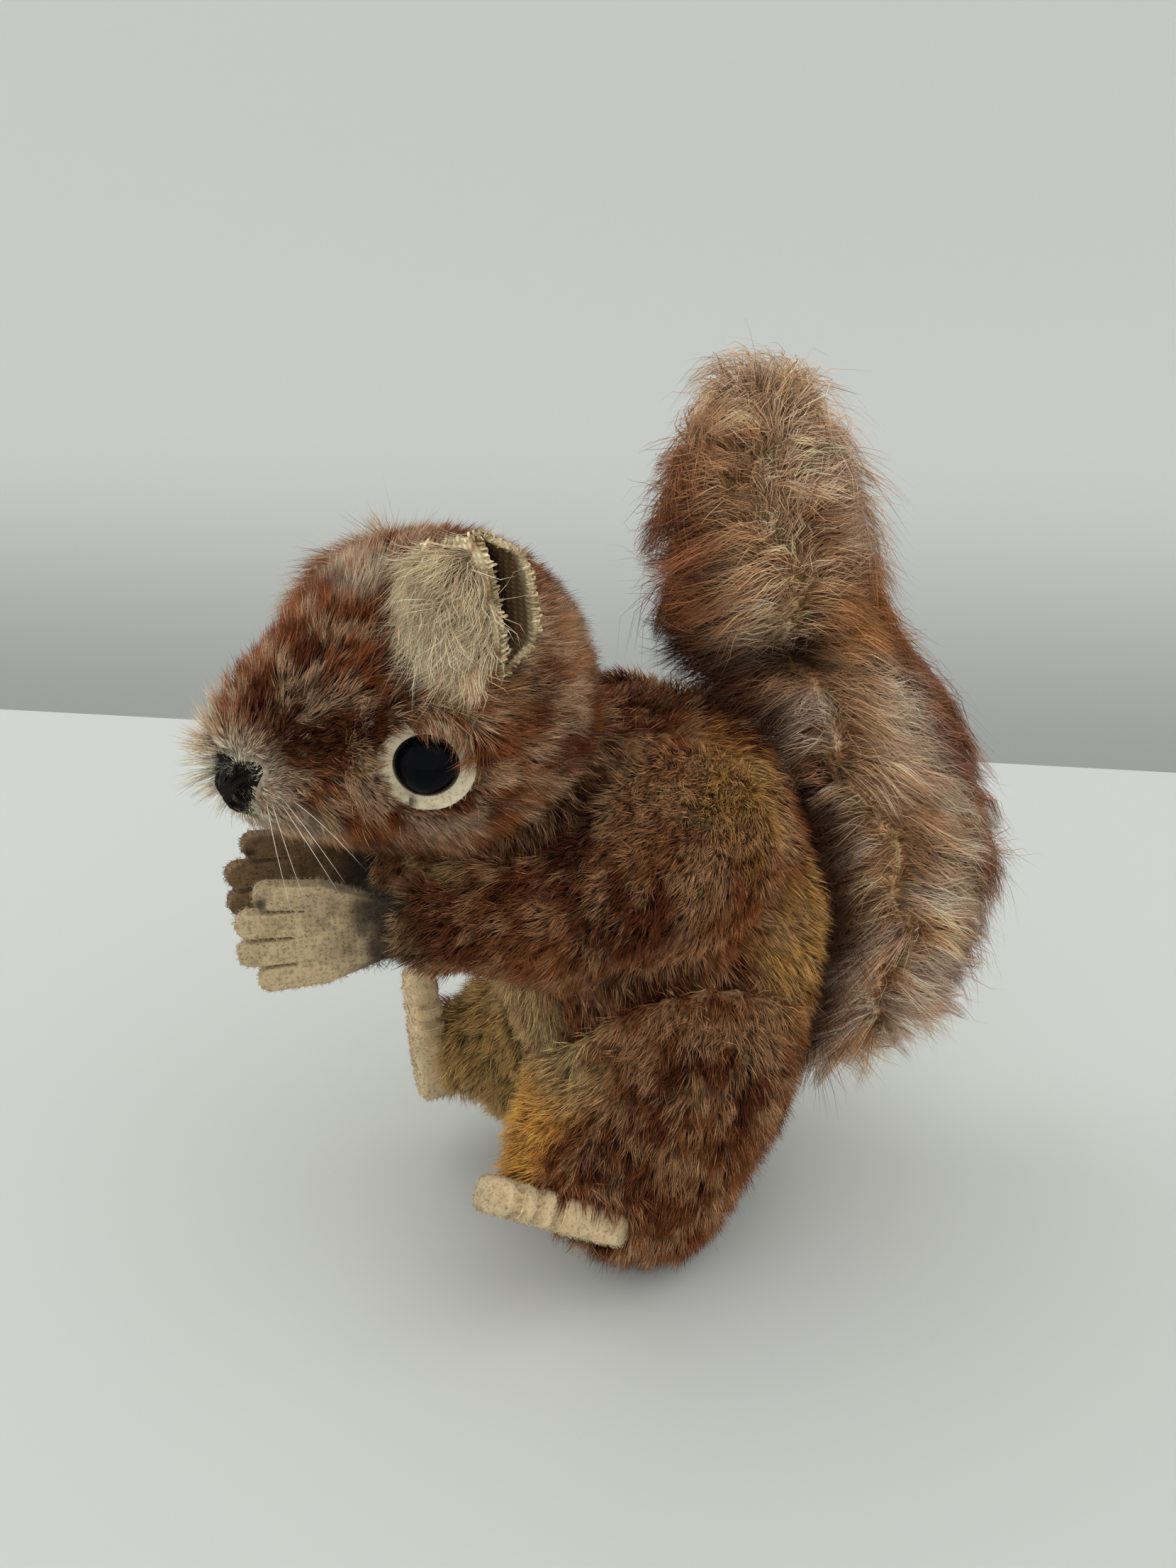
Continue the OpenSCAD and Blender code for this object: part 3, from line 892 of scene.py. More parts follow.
def tail_length(points, normals):
    """Shorter at the rims and at the root, and longest on the tip."""
    height = points[:, 2] / MM
    rim = ramp(np.abs(tail_offset(points)), 8 * MM, 13 * MM)
    cap = ramp(height, TAIL_CAP, TAIL_CAP + 8)
    return 11 - 2.5 * rim * (1 - cap) + 0.5 * cap - 4 * (1 - ramp(height, 14, 34))


TORSO_FLOW = DOWN - 0.35 * FORWARD
ARM_FLOW = FORWARD + 0.5 * DOWN
LEG_FLOW = DOWN + 0.6 * FORWARD
EYE_FELTS = ("left_eye_felt", "right_eye_felt")
BROW_TO_EYE = unit(np.array([0, -0.6, -0.8]))


def eyes_from(face):
    """The way to each eye from places on the straight head, how far it is, and how far down."""
    for eye in EYE_FELTS:
        towards = straight(node_middle(eye)) - face
        yield unit(towards), np.linalg.norm(towards, axis=1), unit(towards) @ BROW_TO_EYE


def head_flow(points, normals):
    """Back from the nose and down the cheeks, but over the top of the felt round each eye."""
    face = straight(points)
    away = unit(face - nose_place) + 0.25 * DOWN
    for way, gap, down in eyes_from(face):
        near = 1 - ramp(gap, 5.5 * MM, 8 * MM)
        away += 2 * (near * ramp(down, 0.35, 0.75))[:, None] * way
    return turn_with_head(away)


# ---- skins ----

LIMBS = ("left_leg", "right_leg", "left_arm", "right_arm")
BODY_SINK = 1.9
TAIL_SINK = 3.8
NECK_GAP = 2.6 * MM
EYE_CLEARING = 5.4 * MM
torso_tree = surface_tree("torso_cover")
ear_tree = surface_tree("left_ear", "right_ear")
limb_tree = surface_tree(*[f"{limb}_cover" for limb in LIMBS])
tail_tree = surface_tree(*TAIL_COVERS)
felt_tree = surface_tree(
    "left_foot_upper", "left_foot_sole", "right_foot_upper", "right_foot_sole", "left_hand", "right_hand"
)


def clear_of(*trees, gap=1.0):
    """Tells which roots are out in the open, and not between two pieces."""
    def keep(roots, normals):
        return np.all([gaps_to(tree, roots) > gap * MM for tree in trees], axis=0)
    return keep


def off_the_neck(roots, normals):
    """Drops roots on the flat faces that meet at the neck."""
    height = np.abs((roots - neck) @ neck_axis)
    return ~((height < NECK_GAP) & (np.abs(normals @ neck_axis) > 0.7))


def all_of(*tests):
    """A test of roots that asks for all of some others."""
    return lambda roots, normals: np.all([test(roots, normals) for test in tests], axis=0)


def on_side(side):
    return lambda roots, normals: roots[:, 0] * side > 0


def place_skin(skin, colour, body, slot, *nodes, fill, shade=0.5):
    """Makes the padded piece under a pile, in the pile's colour darkened by painted shade."""
    places = vertex_places(skin)
    rng = np.random.default_rng(SEED)
    _, middle, _ = colour(places, places, places, vertex_normals(skin), rng)
    # Painted shade: the backing is a darker copy of the pile's colour
    paint(skin, middle * shade)
    place(skin, BACKING, body, slot, *nodes)


def add_torso():
    """The padded torso, with its pile in two halves to keep each piece small."""
    skin = closed_form("torso_skin", ["torso_cover", "torso_stuffing"], voxel=1.0, rounds=12)
    sink(skin, BODY_SINK, [surface_tree("head_cover")])
    for side, name in SIDE_NAMES.items():
        pile = coat(
            f"torso_{name}_pile", skin, body_colour, 100 + side, TORSO_FLOW,
            count=34000, length=3.6, lean=40, gather=0.15,
            keep=all_of(on_side(side), off_the_neck, clear_of(limb_tree, tail_tree, gap=0.3)),
        )
        place(pile, PILE, "torso", "body_plush")
    place_skin(skin, body_colour, "torso", "body_plush", "torso_cover", fill=0.95)


def add_limb(limb, colour, seed, flow, count, length):
    """A padded leg or arm, and its pile wherever it is clear of the torso and the felt."""
    skin = closed_form(f"{limb}_skin", [f"{limb}_cover", f"{limb}_stuffing"], voxel=0.9, rounds=8)
    sink(skin, BODY_SINK, [torso_tree, felt_tree])
    pile = coat(
        f"{limb}_pile", skin, colour, seed, flow, count, length, lean=40, width=0.11, gather=0.15,
        keep=clear_of(torso_tree, felt_tree, gap=0.5),
    )
    place(pile, PILE, "torso", "body_plush")
    place_skin(skin, colour, "torso", "body_plush", f"{limb}_cover", fill=0.9)


TAIL_PARTS = {"lower": (0, 52), "middle": (52, 84), "upper": (84, 130)}


def add_tail():
    """The padded tail, with long pile in three parts a side."""
    skin = closed_form("tail_skin", [*TAIL_COVERS, "tail_stuffing"], voxel=1.2, rounds=16)
    sink(skin, TAIL_SINK)
    for side, name in SIDE_NAMES.items():
        for part, (low, high) in TAIL_PARTS.items():
            def on_part(roots, normals, low=low, high=high):
                return (roots[:, 2] > low * MM) & (roots[:, 2] <= high * MM)
            pile = coat(
                f"tail_{name}_{part}_pile", skin, tail_colour, 200 + side * high, tail_flow,
                count=50000, length=tail_length, lean=tail_lean, width=0.105, points=5, wave=1.2,
                droop=6, bend=13, tousle=0.2, tuft_size=60, gather=0.7, uneven=0.15, strays=0.02,
                keep=all_of(on_side(side), on_part),
            )
            place(pile, LONG_PILE, "torso", "tail_plush")
    place_skin(skin, tail_colour, "torso", "tail_plush", *TAIL_COVERS, fill=0.8, shade=0.85)


def far_cheek(roots):
    """1 on the toy's right of its nose, where the pile has stayed long, and 0 on its left."""
    return ramp(-straight(roots)[:, 0], 0.5 * MM, 3 * MM)


def head_lean(roots, normals):
    """Flatter near the nose, but only on the toy's left of it."""
    near = 1 - ramp(gaps_to(nose_tree, roots), 1 * MM, 6 * MM)
    return 43 + 20 * near * (1 - far_cheek(roots))


def before_an_eye(roots):
    """1 on the rim of fur in front of an eye and under it, where the pile leaves its felt clear."""
    share = np.zeros(len(roots))
    for _, gap, down in eyes_from(straight(roots)):
        near = 1 - ramp(gap, 6 * MM, 8.5 * MM)
        share = np.maximum(share, near * (1 - ramp(down, 0, 0.4)))
    return share


def head_length(roots, normals):
    """Short near the nose on the toy's left, long on its right, and clipped before the eyes."""
    near = 1 - ramp(gaps_to(nose_tree, roots), 0.5 * MM, 8 * MM)
    far = near * far_cheek(roots)
    return (4.1 - 2.4 * (near - far) + 3 * far) * (1 - 0.55 * before_an_eye(roots))


def bare_spots(roots, normals):
    """Drops roots under the eyes' felt and over the nose."""
    wanted = clear_of(nose_tree, gap=0.4)(roots, normals) & clear_of(ear_tree, gap=0.8)(roots, normals)
    for eye in EYE_FELTS:
        wanted &= np.linalg.norm(roots - node_middle(eye), axis=1) > EYE_CLEARING
    return wanted


def add_head():
    """The padded head, with its pile in four parts."""
    nodes = ["head_cover", "head_stuffing", "nose_stitching"]
    skin = closed_form("head_skin", nodes, voxel=0.9, rounds=8)
    sink(skin, BODY_SINK, [torso_tree, surface_tree(*EYE_FELTS)])
    face_middle = straight(node_middle("head_stuffing"))[1]
    for side, name in SIDE_NAMES.items():
        for part, ahead in (("face", True), ("back", False)):
            def on_part(roots, normals, side=side, ahead=ahead):
                face = straight(roots)
                return (face[:, 0] * side > 0) & ((face[:, 1] < face_middle) == ahead)
            pile = coat(
                f"head_{name}_{part}_pile", skin, head_colour, 300 + 2 * side + ahead, head_flow,
                count=88000, length=head_length, lean=head_lean, width=0.09, tousle=0.22,
                gather=0.16, uneven=0.07,
                keep=all_of(on_part, off_the_neck, bare_spots),
            )
            place(pile, PILE, "head", "body_plush")
    place_skin(skin, head_colour, "head", "body_plush", "head_cover", fill=0.95)


# ---- ears ----

EAR_FOOT = -7.0
EAR_TOP = 8.2
EAR_CLOTH = 0.7
EAR_RAW_EDGE = 1.4
EAR_YAW = math.radians(20)
# The line up the hollow of the ear, in millimetres back, out and up
EAR_CORE = np.array([0.5, 0.6, 0])
EAR_THREAD_PITCH = 0.55
EAR_THREAD_WIDTH = 0.42
# Round the cloth at one height, from the free edge of the outer flap and over the fold in
# front to the edge of the rear flap, as (back, out) in shares of the ear's half width
EAR_SECTION = np.array([
    (0.38, 0.55), (0.2, 0.66), (-0.15, 0.68), (-0.5, 0.58), (-0.85, 0.36), (-1.0, 0.0),
    (-0.85, -0.22), (-0.4, -0.3), (0.1, -0.28), (0.5, -0.18), (0.85, 0.04), (1.05, 0.34),
])
# From the foot of the ear to its top, in millimetres
EAR_HALF_WIDTHS = np.array([3.4, 4.8, 5.5, 5.8, 5.8, 5.7, 5.3, 4.4])


def eased(values, count):
    """A smooth row of count values through a few guiding ones."""
    fine = np.interp(np.linspace(0, len(values) - 1, count), np.arange(len(values)), values)
    for _ in range(6):
        fine[1:-1] = (fine[:-2] + 2 * fine[1:-1] + fine[2:]) / 4
    return fine


def ear_grid(rows=31, columns=49):
    """The ear's cloth as rows from foot to top, in millimetres back, out and up."""
    up = np.linspace(0, 1, rows)[:, None]
    half = eased(EAR_HALF_WIDTHS, rows)[:, None]
    back = eased(EAR_SECTION[:, 0], columns)[None]
    out = eased(EAR_SECTION[:, 1], columns)[None]
    shut = np.maximum(1 - ramp(up, 0, 0.25), ramp(up, 0.85, 1))
    back = back - 0.8 * shut * np.maximum(back - 0.38, 0)
    out = out * (1 - 0.8 * shut)
    height = EAR_FOOT + (EAR_TOP - EAR_FOOT) * up
    return np.stack([back * half, out * half, height + 0 * back], axis=2)


def grid_normals(grid):
    return unit(np.cross(np.gradient(grid, axis=1), np.gradient(grid, axis=0)))


def sheet_mesh(name, grid, thickness):
    """A closed sheet, thickness millimetres thick, round a grid of places in metres."""
    rows, columns, _ = grid.shape
    half = grid_normals(grid) * thickness * MM / 2
    layers = np.concatenate([(grid + half).reshape(-1, 3), (grid - half).reshape(-1, 3)])
    number = np.arange(rows * columns).reshape(rows, columns)
    size = rows * columns
    quads = np.stack([number[:-1, :-1], number[:-1, 1:], number[1:, 1:], number[1:, :-1]], axis=2)
    quads = quads.reshape(-1, 4)
    rim = np.concatenate([number[0, :-1], number[:-1, -1], number[-1, :0:-1], number[:0:-1, 0]])
    after = np.roll(rim, -1)
    edges = np.stack([after, rim, rim + size, after + size], axis=1)
    faces = np.concatenate([quads, quads[:, ::-1] + size, edges])
    mesh = bpy.data.meshes.new(name)
    mesh.from_pydata(layers.tolist(), [], faces.tolist())
    mesh.shade_smooth()
    return mesh


def ear_cloth_colours(grid, columns_are_reversed):
    """Cream cloth for the outer and then the inner layer, which keeps its pale weave near its edges and
    has painted shade, with some brown dirt, deeper in the fold.
    """
    rows, columns, _ = grid.shape
    places = grid.reshape(-1, 3)
    along = np.linspace(0, 1, columns)
    if columns_are_reversed:
        along = along[::-1]
    along = np.broadcast_to(along, (rows, columns)).ravel()
    weave = mix(WEAVE_PALE, WEAVE_BROWN, ramp(mottle(places, 2, 0.6, 71), 0.35, 0.7))
    # The inner layer stays pale near its free edges and gets painted shade deeper in the fold
    lit = ramp(along, 0.93, 1) + 1 - ramp(along, 0, 0.07)
    inside = mix(UMBER * 0.4, WEAVE_BROWN * 0.6, ramp(along, 0.8, 0.9))
    return np.concatenate([weave, mix(inside, WEAVE_PALE, lit)])


def ear_threads(name, grid, colours):
    """Frayed ends of weft that wrap the raw edges of the ear."""
    normals = grid_normals(grid)
    sides = [
        (grid[:, 0], grid[:, 0] - grid[:, 1], normals[:, 0], colours[:, 0]),
        (grid[:, -1], grid[:, -1] - grid[:, -2], normals[:, -1], colours[:, -1]),
        (grid[-1], grid[-1] - grid[-2], normals[-1], colours[-1]),
    ]
    rng = np.random.default_rng(SEED + 9)
    paths, shades = [], []
    for edge, outwards, normal, shade in sides:
        length = np.linalg.norm(np.diff(edge, axis=0), axis=1).sum() / MM
        picks = np.linspace(0, len(edge) - 1, int(length / EAR_THREAD_PITCH)).round().astype(int)
        outwards = unit(outwards)[picks] * MM
        normal = normal[picks] * MM
        reach = rng.uniform(0.1, 0.9, (len(picks), 1)) ** 1.5
        wrap = ((0.5, -0.7), (0.45, 0), (0, reach), (-0.45, 0), (-0.5, -0.7))
        path = [edge[picks] + over * normal + beyond * outwards for over, beyond in wrap]
        path = np.stack(path, axis=1)
        path[:, 1:4] += rng.normal(0, 0.12 * MM, (len(picks), 1, 3))
        paths.append(path)
        shades.append(shade[picks] * rng.uniform(0.5, 1.3, (len(picks), 1)))
    paths = np.concatenate(paths)
    return strand_mesh(name, paths, EAR_THREAD_WIDTH, np.concatenate(shades)[:, None])


def ear_axes(node, side, lean, forward):
    """The middle of an ear on the straight head, and its back, out and up directions."""
    cup = closed_form(f"{node}_guide", [node], voxel=0.5, rounds=0)
    places = straight(vertex_places(cup))
    bpy.data.meshes.remove(cup)
    middle, axes = main_axes(places)
    out = axes[-1] * np.sign(axes[-1][0]) * side
    rise = np.array([0, math.sin(lean), math.cos(lean)])
    rise = unit(rise - out * (rise @ out))
    back = np.cross(rise, out) * side
    yaw = rotation(-EAR_YAW * side, rise)
    axes = np.array([yaw @ back, yaw @ out, rise])
    return middle - forward * MM * axes[0], axes


def add_ear(side, lean, forward, share, dye):
    """A cup of woven cloth with raw edges and painted shade in its fold, whose outside keeps its pile.

    lean is in radians back from upright, forward is in millimetres from the middle of its node,
    and share is its share of full size.
    """
    node = f"{SIDE_NAMES[side]}_ear"
    middle, axes = ear_axes(node, side, lean, forward)
    grid = share * ear_grid()
    if side == LEFT:
        grid = grid[:, ::-1]
    grid = back_on_head(middle + MM * grid @ axes)
    cup = sheet_mesh(f"{node}_cup", grid, EAR_CLOTH)
    colours = ear_cloth_colours(grid, side == LEFT)
    paint(cup, colours)
    rim = np.concatenate([grid[:, 0], grid[:, -1], grid[-1]])

    def outside(roots, normals):
        here = (straight(roots) - middle) @ axes.T / MM
        core = here * np.array([0, 0, 1]) + EAR_CORE
        facing = normals @ turned @ axes.T
        outward = (np.sum((here - core) * facing, axis=1) > 0) & (facing[:, 0] < 0.35)
        gaps = np.linalg.norm(roots[:, None] - rim[None], axis=2).min(axis=1)
        ragged = EAR_RAW_EDGE * (0.6 + 0.8 * lattice_noise(roots, 1.5, 79))
        return outward & (gaps > ragged * MM)

    flow = turn_with_head(0.9 * FORWARD - axes[2])
    pile = coat(
        f"{node}_pile", cup, ear_colour(dye), 400 + side, flow, count=16000, length=6, lean=60,
        points=5, width=0.09, wave=0.6, gather=0.4, tuft_size=14, uneven=0.18, keep=outside,
    )
    place(pile, PILE, "head", "ear_plush")
    outer = colours[:len(colours) // 2].reshape(grid.shape)
    threads = ear_threads(f"{node}_threads", grid, outer)
    place(threads, YARN, "head", "ear_plush")
    place(cup, WEAVE, "head", "ear_plush", node)


# ---- felt ----

def solids_of(node):
    """The places of the vertices of each separate solid of a node."""
    shell = joined([node])
    bmesh.ops.remove_doubles(shell, verts=shell.verts, dist=1e-6)
    groups = [np.array([vertex.co for vertex in group]) for group in islands(shell)]
    shell.free()
    return groups


def felt_colour(node, base, smudge_from=0.5, smudge=0.0, spot=None):
    """Worn felt, sprayed grey towards its wrist, with a dirty spot at a share of its box."""
    low, high = (np.array(corner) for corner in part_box(node))

    def colour(points, *rest):
        share = (points - low) / (high - low)
        shade = mix(base, base * 0.78, ramp(mottle(points, 2.5, 0.8, 83), 0.35, 0.75))
        edge = 0.2 * (lattice_noise(points, 1.5, 87) - 0.5)
        shade = mix(shade, SMUDGE, smudge * ramp(share[:, 1] + edge, smudge_from, smudge_from + 0.35))
        if spot is not None:
            gap = np.linalg.norm((share - spot)[:, 1:] * (high - low)[1:], axis=1)
            dirt = (1 - ramp(gap, 0.3 * MM, 1.5 * MM)) * ramp(lattice_noise(points, 0.7, 89), 0.3, 0.5)
            shade = mix(shade, SOOT, 0.85 * dirt)
        return shade
    return colour


TOE_GROOVE = 1.1
TOE_GROOVE_WIDTH = 0.7
FOOT_PUFF = 0.35


def groove(mesh, stitches):
    """Draws a plump foot in where its stitches cross it, which leaves rounded toes between."""
    sink(mesh, -FOOT_PUFF)
    places = vertex_places(mesh)
    along = np.linalg.svd(places - places.mean(axis=0), full_matrices=False)[2][0]
    stations = np.array([solid.mean(axis=0) for solid in solids_of(stitches)]) @ along
    gap = np.abs((places @ along)[:, None] - stations[None]).min(axis=1) / MM
    depth = TOE_GROOVE * np.exp(-((gap / TOE_GROOVE_WIDTH) ** 2))
    move_vertices(mesh, places - vertex_normals(mesh) * depth[:, None] * MM)


def any_way(points, normals):
    """A way that changes from each hair of the fuzz to the next."""
    return np.sin(points * 9000)


def add_felt(sheet, nodes, colour, fuzz, seed, count, length, body="torso", slot="felt"):
    """A piece of felt with a fine fuzz of its own colour. Length is a rule in millimetres."""
    def fuzz_colour(roots, middles, tips, normals, rng):
        shade = colour(roots) * np.clip(rng.normal(1.05, 0.15, len(roots)), 0.6, 1.5)[:, None]
        # The root is a little darker, as painted shade
        return shade * 0.9, shade, shade

    hairs = coat(
        fuzz, sheet, fuzz_colour, seed, any_way, count, length, lean=55, width=0.06, gather=0.2
    )
    place(hairs, FELT, body, slot)
    paint(sheet, colour(vertex_places(sheet)))
    place(sheet, FELT, body, slot, *nodes)


EYE_SHARE = 0.91


def shrink_to_eye(mesh, middle):
    move_vertices(mesh, middle + EYE_SHARE * (vertex_places(mesh) - middle))


def add_eye(name, seed):
    """A black bead on a disc of felt, both a little smaller than their nodes."""
    bead, felt = f"{name}_eye", f"{name}_eye_felt"
    middle = node_middle(felt)
    glass = frame["nodes"][bead].data.copy()
    glass.name = f"{bead}_bead"
    glass.materials.clear()
    shrink_to_eye(glass, middle)
    glass.shade_smooth()
    place(glass, GLASS, "head", "black_glass", bead)
    disc = closed_form(f"{felt}_disc", [felt], voxel=0.2, rounds=5)
    shrink_to_eye(disc, middle)
    colour = felt_colour(felt, FELT_CREAM * 0.95, spot=(0.5, 0.3, 0.14))
    add_felt(
        disc, [felt], colour, f"{felt}_fuzz", seed, count=700, length=0.6, body="head", slot="eye_felt"
    )


def wrist_fuzz(node):
    """Millimetres of fuzz: short on the fingers, and long where the sleeve's pile sheds on it."""
    low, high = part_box(node)

    def length(roots, normals):
        return 0.75 + 1.9 * ramp((roots[:, 1] - low[1]) / (high[1] - low[1]), 0.5, 0.75)
    return length


# The left hand's felt, and the right hand's felt darkened by painted shade
HAND_TONES_AND_SHADE = {"left": FELT_BEIGE * 0.85, "right": FELT_SHADED}


def add_hand(side, seed):
    """One sheet of felt cut into fingers, grey with dirt at its wrist."""
    hand = f"{side}_hand"
    sheet = closed_form(f"{hand}_felt", [hand], voxel=0.15, rounds=5)
    colour = felt_colour(hand, HAND_TONES_AND_SHADE[side], smudge_from=0.36, smudge=0.97, spot=(0.5, 0.13, 0.84))
    add_felt(sheet, [hand], colour, f"{hand}_felt_fuzz", seed, count=7000, length=wrist_fuzz(hand))


def add_foot(side, seed):
    """One padded form for the upper and the sole, drawn in by the toe stitches."""
    nodes = [f"{side}_foot_upper", f"{side}_foot_sole"]
    sheet = closed_form(f"{side}_foot_felt", nodes, voxel=0.4, rounds=45)
    groove(sheet, f"{side}_toe_stitches")
    colour = felt_colour(nodes[0], FELT_BEIGE * 1.02)
    add_felt(sheet, nodes, colour, f"{side}_foot_felt_fuzz", seed, count=4000, length=0.75)


# ---- stitches, nose and whiskers ----

TOE_THREAD_WIDTH = 0.3
TOE_STITCH_TURN = 1.75
# How far a stitch's thread stands out from its middle, and reaches over and under, in mm
TOE_STITCH_OUT = 1.0
TOE_STITCH_HALF = 1.9
NOSE_THREAD_WIDTH = 0.6
NOSE_ROWS = 15


def nose_fibre_colour(roots, middles, tips, normals, rng):
    """Black wool with grey flecks."""
    shade = mix(SOOT, ASH, ramp(mottle(roots, 1.2, 0.6, 97), 0.42, 0.6))
    shade = shade * np.clip(rng.normal(1, 0.3, len(roots)), 0.4, 1.8)[:, None]
    return shade, shade, shade


def add_toe_stitches(side):
    """A loop of thread over the edge of the foot at each stitch of the node."""
    node = f"{side}_toe_stitches"
    foot = node_middle(node)
    turn = np.linspace(-TOE_STITCH_TURN, TOE_STITCH_TURN, 13)[:, None]
    paths = []
    for solid in solids_of(node):
        middle, (thick, out, _) = main_axes(solid)
        out = out * np.sign(out @ (middle - foot))
        loop = TOE_STITCH_OUT * np.cos(turn) * out + TOE_STITCH_HALF * np.sin(turn) * thick
        paths.append(middle + MM * loop)
    threads = strand_mesh(f"{node}_thread", np.array(paths), TOE_THREAD_WIDTH, FELT_BEIGE)
    place(threads, YARN, "torso", "thread", node)


def nose_stitches(pad, rng):
    """Long stitches down the front of the pad, shorter towards its sides."""
    places = straight(vertex_places(pad))
    low, high = places.min(axis=0), places.max(axis=0)
    middle, half = (low + high) / 2, (high - low) / 2
    turn = np.linspace(0.1, math.pi - 0.1, 9)[:, None]
    bow = half[1] + 0.35 * MM
    paths = []
    for row in np.linspace(0.08, 0.92, NOSE_ROWS):
        centre = np.array([low[0] + row * (high[0] - low[0]), middle[1], middle[2]])
        rise = half[2] * (1 - 0.6 * abs(2 * row - 1))
        wobble = rng.normal(0, 0.12 * MM, (1, 3))
        arch = np.hstack([0 * turn, -bow * np.sin(turn), rise * np.cos(turn)])
        paths.append(centre + wobble + arch)
    shade = rng.uniform(0.6, 2.2, (len(paths), 1, 1))
    paths = back_on_head(np.array(paths))
    return strand_mesh("nose_stitches", paths, NOSE_THREAD_WIDTH, SOOT * shade)


def add_nose():
    """A black pad of embroidery under rows of long stitches, with worn grey fibres."""
    pad = closed_form("nose_pad", ["nose_stitching"], voxel=0.3, rounds=4)
    move_vertices(pad, swing_nose(vertex_places(pad)))
    paint(pad, np.broadcast_to(SOOT, (len(pad.vertices), 3)))
    place(pad, YARN, "head", "black_thread", "nose_stitching")
    stitches = nose_stitches(pad, np.random.default_rng(SEED + 7))
    place(stitches, YARN, "head", "black_thread")
    worn = coat(
        "nose_fibres", pad, nose_fibre_colour, 610, DOWN, count=1500, length=1.1, lean=40,
        points=4, width=0.08, wave=0.3, tousle=0.8,
        keep=lambda roots, normals: normals[:, 1] < -0.3,
    )
    place(worn, YARN, "head", "black_thread")


WHISKER_GATHER = 0.3
WHISKER_SPREAD = 0.7
WHISKER_ROOT = 0.15
WHISKER_WIDTH = 0.1


def add_whiskers(side):
    """Clear nylon hairs that leave the muzzle together and fan out and down."""
    node = f"{SIDE_NAMES[side]}_whiskers"
    nose = node_middle("nose_stitching")
    rng = np.random.default_rng(SEED + side)
    paths = []
    for solid in solids_of(node):
        middle, (along, _, _) = main_axes(solid)
        reach = (solid - middle) @ along
        ends = [middle + along * reach.min(), middle + along * reach.max()]
        start, finish = sorted(ends, key=lambda end: np.linalg.norm(end - nose))
        start = start + WHISKER_GATHER * (nose - start)
        start = start - WHISKER_ROOT * (finish - start)
        finish = finish + rng.normal(0, WHISKER_SPREAD * MM, 3)
        t = np.linspace(0, 1, 8)[:, None]
        sag = rng.uniform(0.3, 1.6) * MM * (t * (1 - t) * 4)
        paths.append(start + (finish - start) * t + sag * np.array([0, -0.3, 1]))
    hairs = strand_mesh(f"{node}_hairs", np.array(paths), WHISKER_WIDTH, NYLON_WHITE)
    place(hairs, NYLON, "head", "nylon", node)


# ---- the set ----

CAMERA_TURN = math.radians(72)
TABLE_TURN = CAMERA_TURN - math.radians(7.2)


def add_plane(name, corners, material):
    """A flat part of the set, turned with the table."""
    mesh = bpy.data.meshes.new(name)
    mesh.from_pydata(corners, [], [(0, 1, 2, 3)])
    mesh.materials.append(material)
    plane = new_object(name, mesh)
    plane.rotation_euler = (0, 0, TABLE_TURN)
    return plane


def stage_material(name, low, high, start, end, axis="Z"):
    """A matt paint that runs from one tone to another between two places on an axis, in metres."""
    material, tree, shader = node_material(name, 0.7, specular=0.2)
    split = add_node(tree, "SeparateXYZ", {"Vector": add_place(tree)})
    share = add_node(tree, "MapRange", {"Value": split.outputs[axis], "From Min": start, "From Max": end})
    share.interpolation_type = "SMOOTHSTEP"
    colour_with_tones(tree, shader, share.outputs["Result"], low, high)
    return material


CAMERA_DIP = math.radians(27)
CAMERA_PLACE = (0.1569, -0.0645, 0.153)
CAMERA_LENS = 33.4


def add_camera():
    """A phone held close, in front of the toy's left shoulder and looking down at it."""
    camera = bpy.data.cameras.new("camera")
    camera.sensor_width = 36
    camera.lens = CAMERA_LENS
    camera.clip_start = 0.005
    camera.clip_end = 20
    holder = new_object("camera", camera)
    holder.location = CAMERA_PLACE
    holder.rotation_euler = (math.pi / 2 - CAMERA_DIP, 0, CAMERA_TURN)
    bpy.context.scene.camera = holder


def add_area_light(name, place_m, size, power):
    """A soft light that faces the toy. Size is in metres, and power in watts."""
    light = bpy.data.lights.new(name, "AREA")
    light.size = size
    light.energy = power
    lamp = new_object(name, light)
    lamp.location = place_m
    aim = Vector(LIGHT_TARGET) - Vector(place_m)
    lamp.rotation_euler = aim.to_track_quat("-Z", "Y").to_euler()


TABLE_EDGE = 0.152
TABLE_DROP = 0.2 * MM
WALL_GAP = 0.2
ROOM_PAINT = srgb(203, 204, 200)
ROOM_LIGHT = 1.55
LIGHT_TARGET = (0, 0, 0.05)


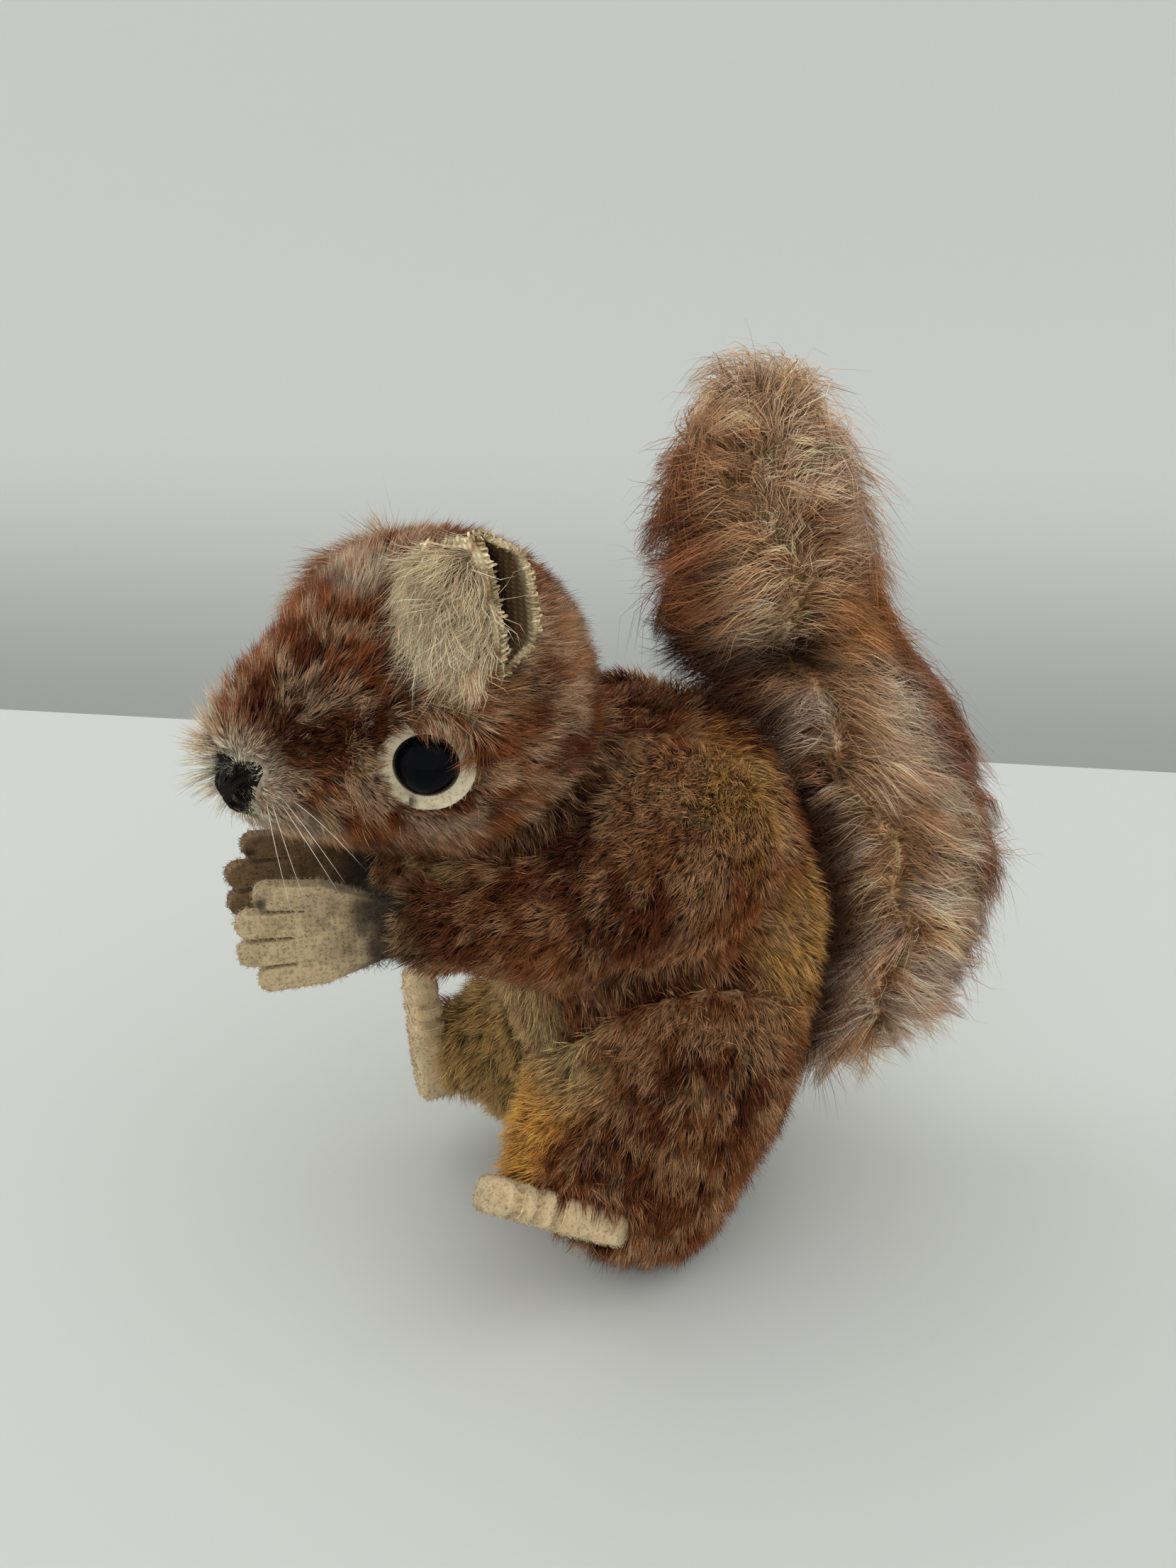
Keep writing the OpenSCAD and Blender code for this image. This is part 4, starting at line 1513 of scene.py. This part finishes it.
def add_table():
    """A pale table top whose far edge crosses behind the toy."""
    table = add_plane(
        "table", [(-1.2, -1.5, 0), (1.2, -1.5, 0), (1.2, TABLE_EDGE, 0), (-1.2, TABLE_EDGE, 0)],
        stage_material("table_top", ROOM_PAINT * 0.95, ROOM_PAINT, -0.3, 0.1, axis="Y"),
    )
    table.location = (0, 0, -TABLE_DROP)


def add_wall():
    """A plain wall, with painted shade below the edge of the table, where the table shades it."""
    far = TABLE_EDGE + WALL_GAP
    add_plane(
        "wall", [(-3, far, -0.8), (3, far, -0.8), (3, far, 2.5), (-3, far, 2.5)],
        stage_material("wall_paint", ROOM_PAINT * 0.58, ROOM_PAINT * 0.95, -0.1, 0.04),
    )


def light_room():
    """Broad soft light from everywhere, with a window in front and a lamp overhead."""
    world = bpy.data.worlds.new("room")
    world.use_nodes = True
    background = world.node_tree.nodes["Background"]
    background.inputs["Color"].default_value = (*srgb(206, 208, 207), 1)
    background.inputs["Strength"].default_value = ROOM_LIGHT
    bpy.context.scene.world = world
    add_area_light("window", (-0.35, -0.35, 0.75), size=0.7, power=2.2)
    add_area_light("ceiling", (0.2, 0.3, 0.9), size=0.9, power=2)
    bpy.context.scene.view_settings.view_transform = "Standard"


add_camera()
dress_hidden_nodes()
add_torso()
left_leg_colour = leg_colour(LEFT, low_panel=GOLD, panel_floor=14)
right_leg_colour = leg_colour(RIGHT, low_panel=OLIVE, panel_floor=0)
add_limb("left_leg", left_leg_colour, 110, LEG_FLOW, count=30000, length=3.6)
add_limb("right_leg", right_leg_colour, 111, LEG_FLOW, count=30000, length=3.6)
add_limb("left_arm", body_colour, 112, ARM_FLOW, count=32000, length=3.2)
add_limb("right_arm", body_colour, 113, ARM_FLOW, count=32000, length=3.2)
add_tail()
add_head()
add_ear(LEFT, lean=math.radians(-4), forward=2, share=1, dye=IVORY)
add_ear(RIGHT, lean=math.radians(70), forward=-1, share=0.78, dye=RUST)
add_whiskers(LEFT)
add_whiskers(RIGHT)
for number, side_name in enumerate(SIDE_NAMES.values()):
    add_hand(side_name, 500 + number)
    add_foot(side_name, 510 + number)
    add_eye(side_name, 520 + number)
for side_name in SIDE_NAMES.values():
    add_toe_stitches(side_name)
add_nose()
add_table()
add_wall()
light_room()
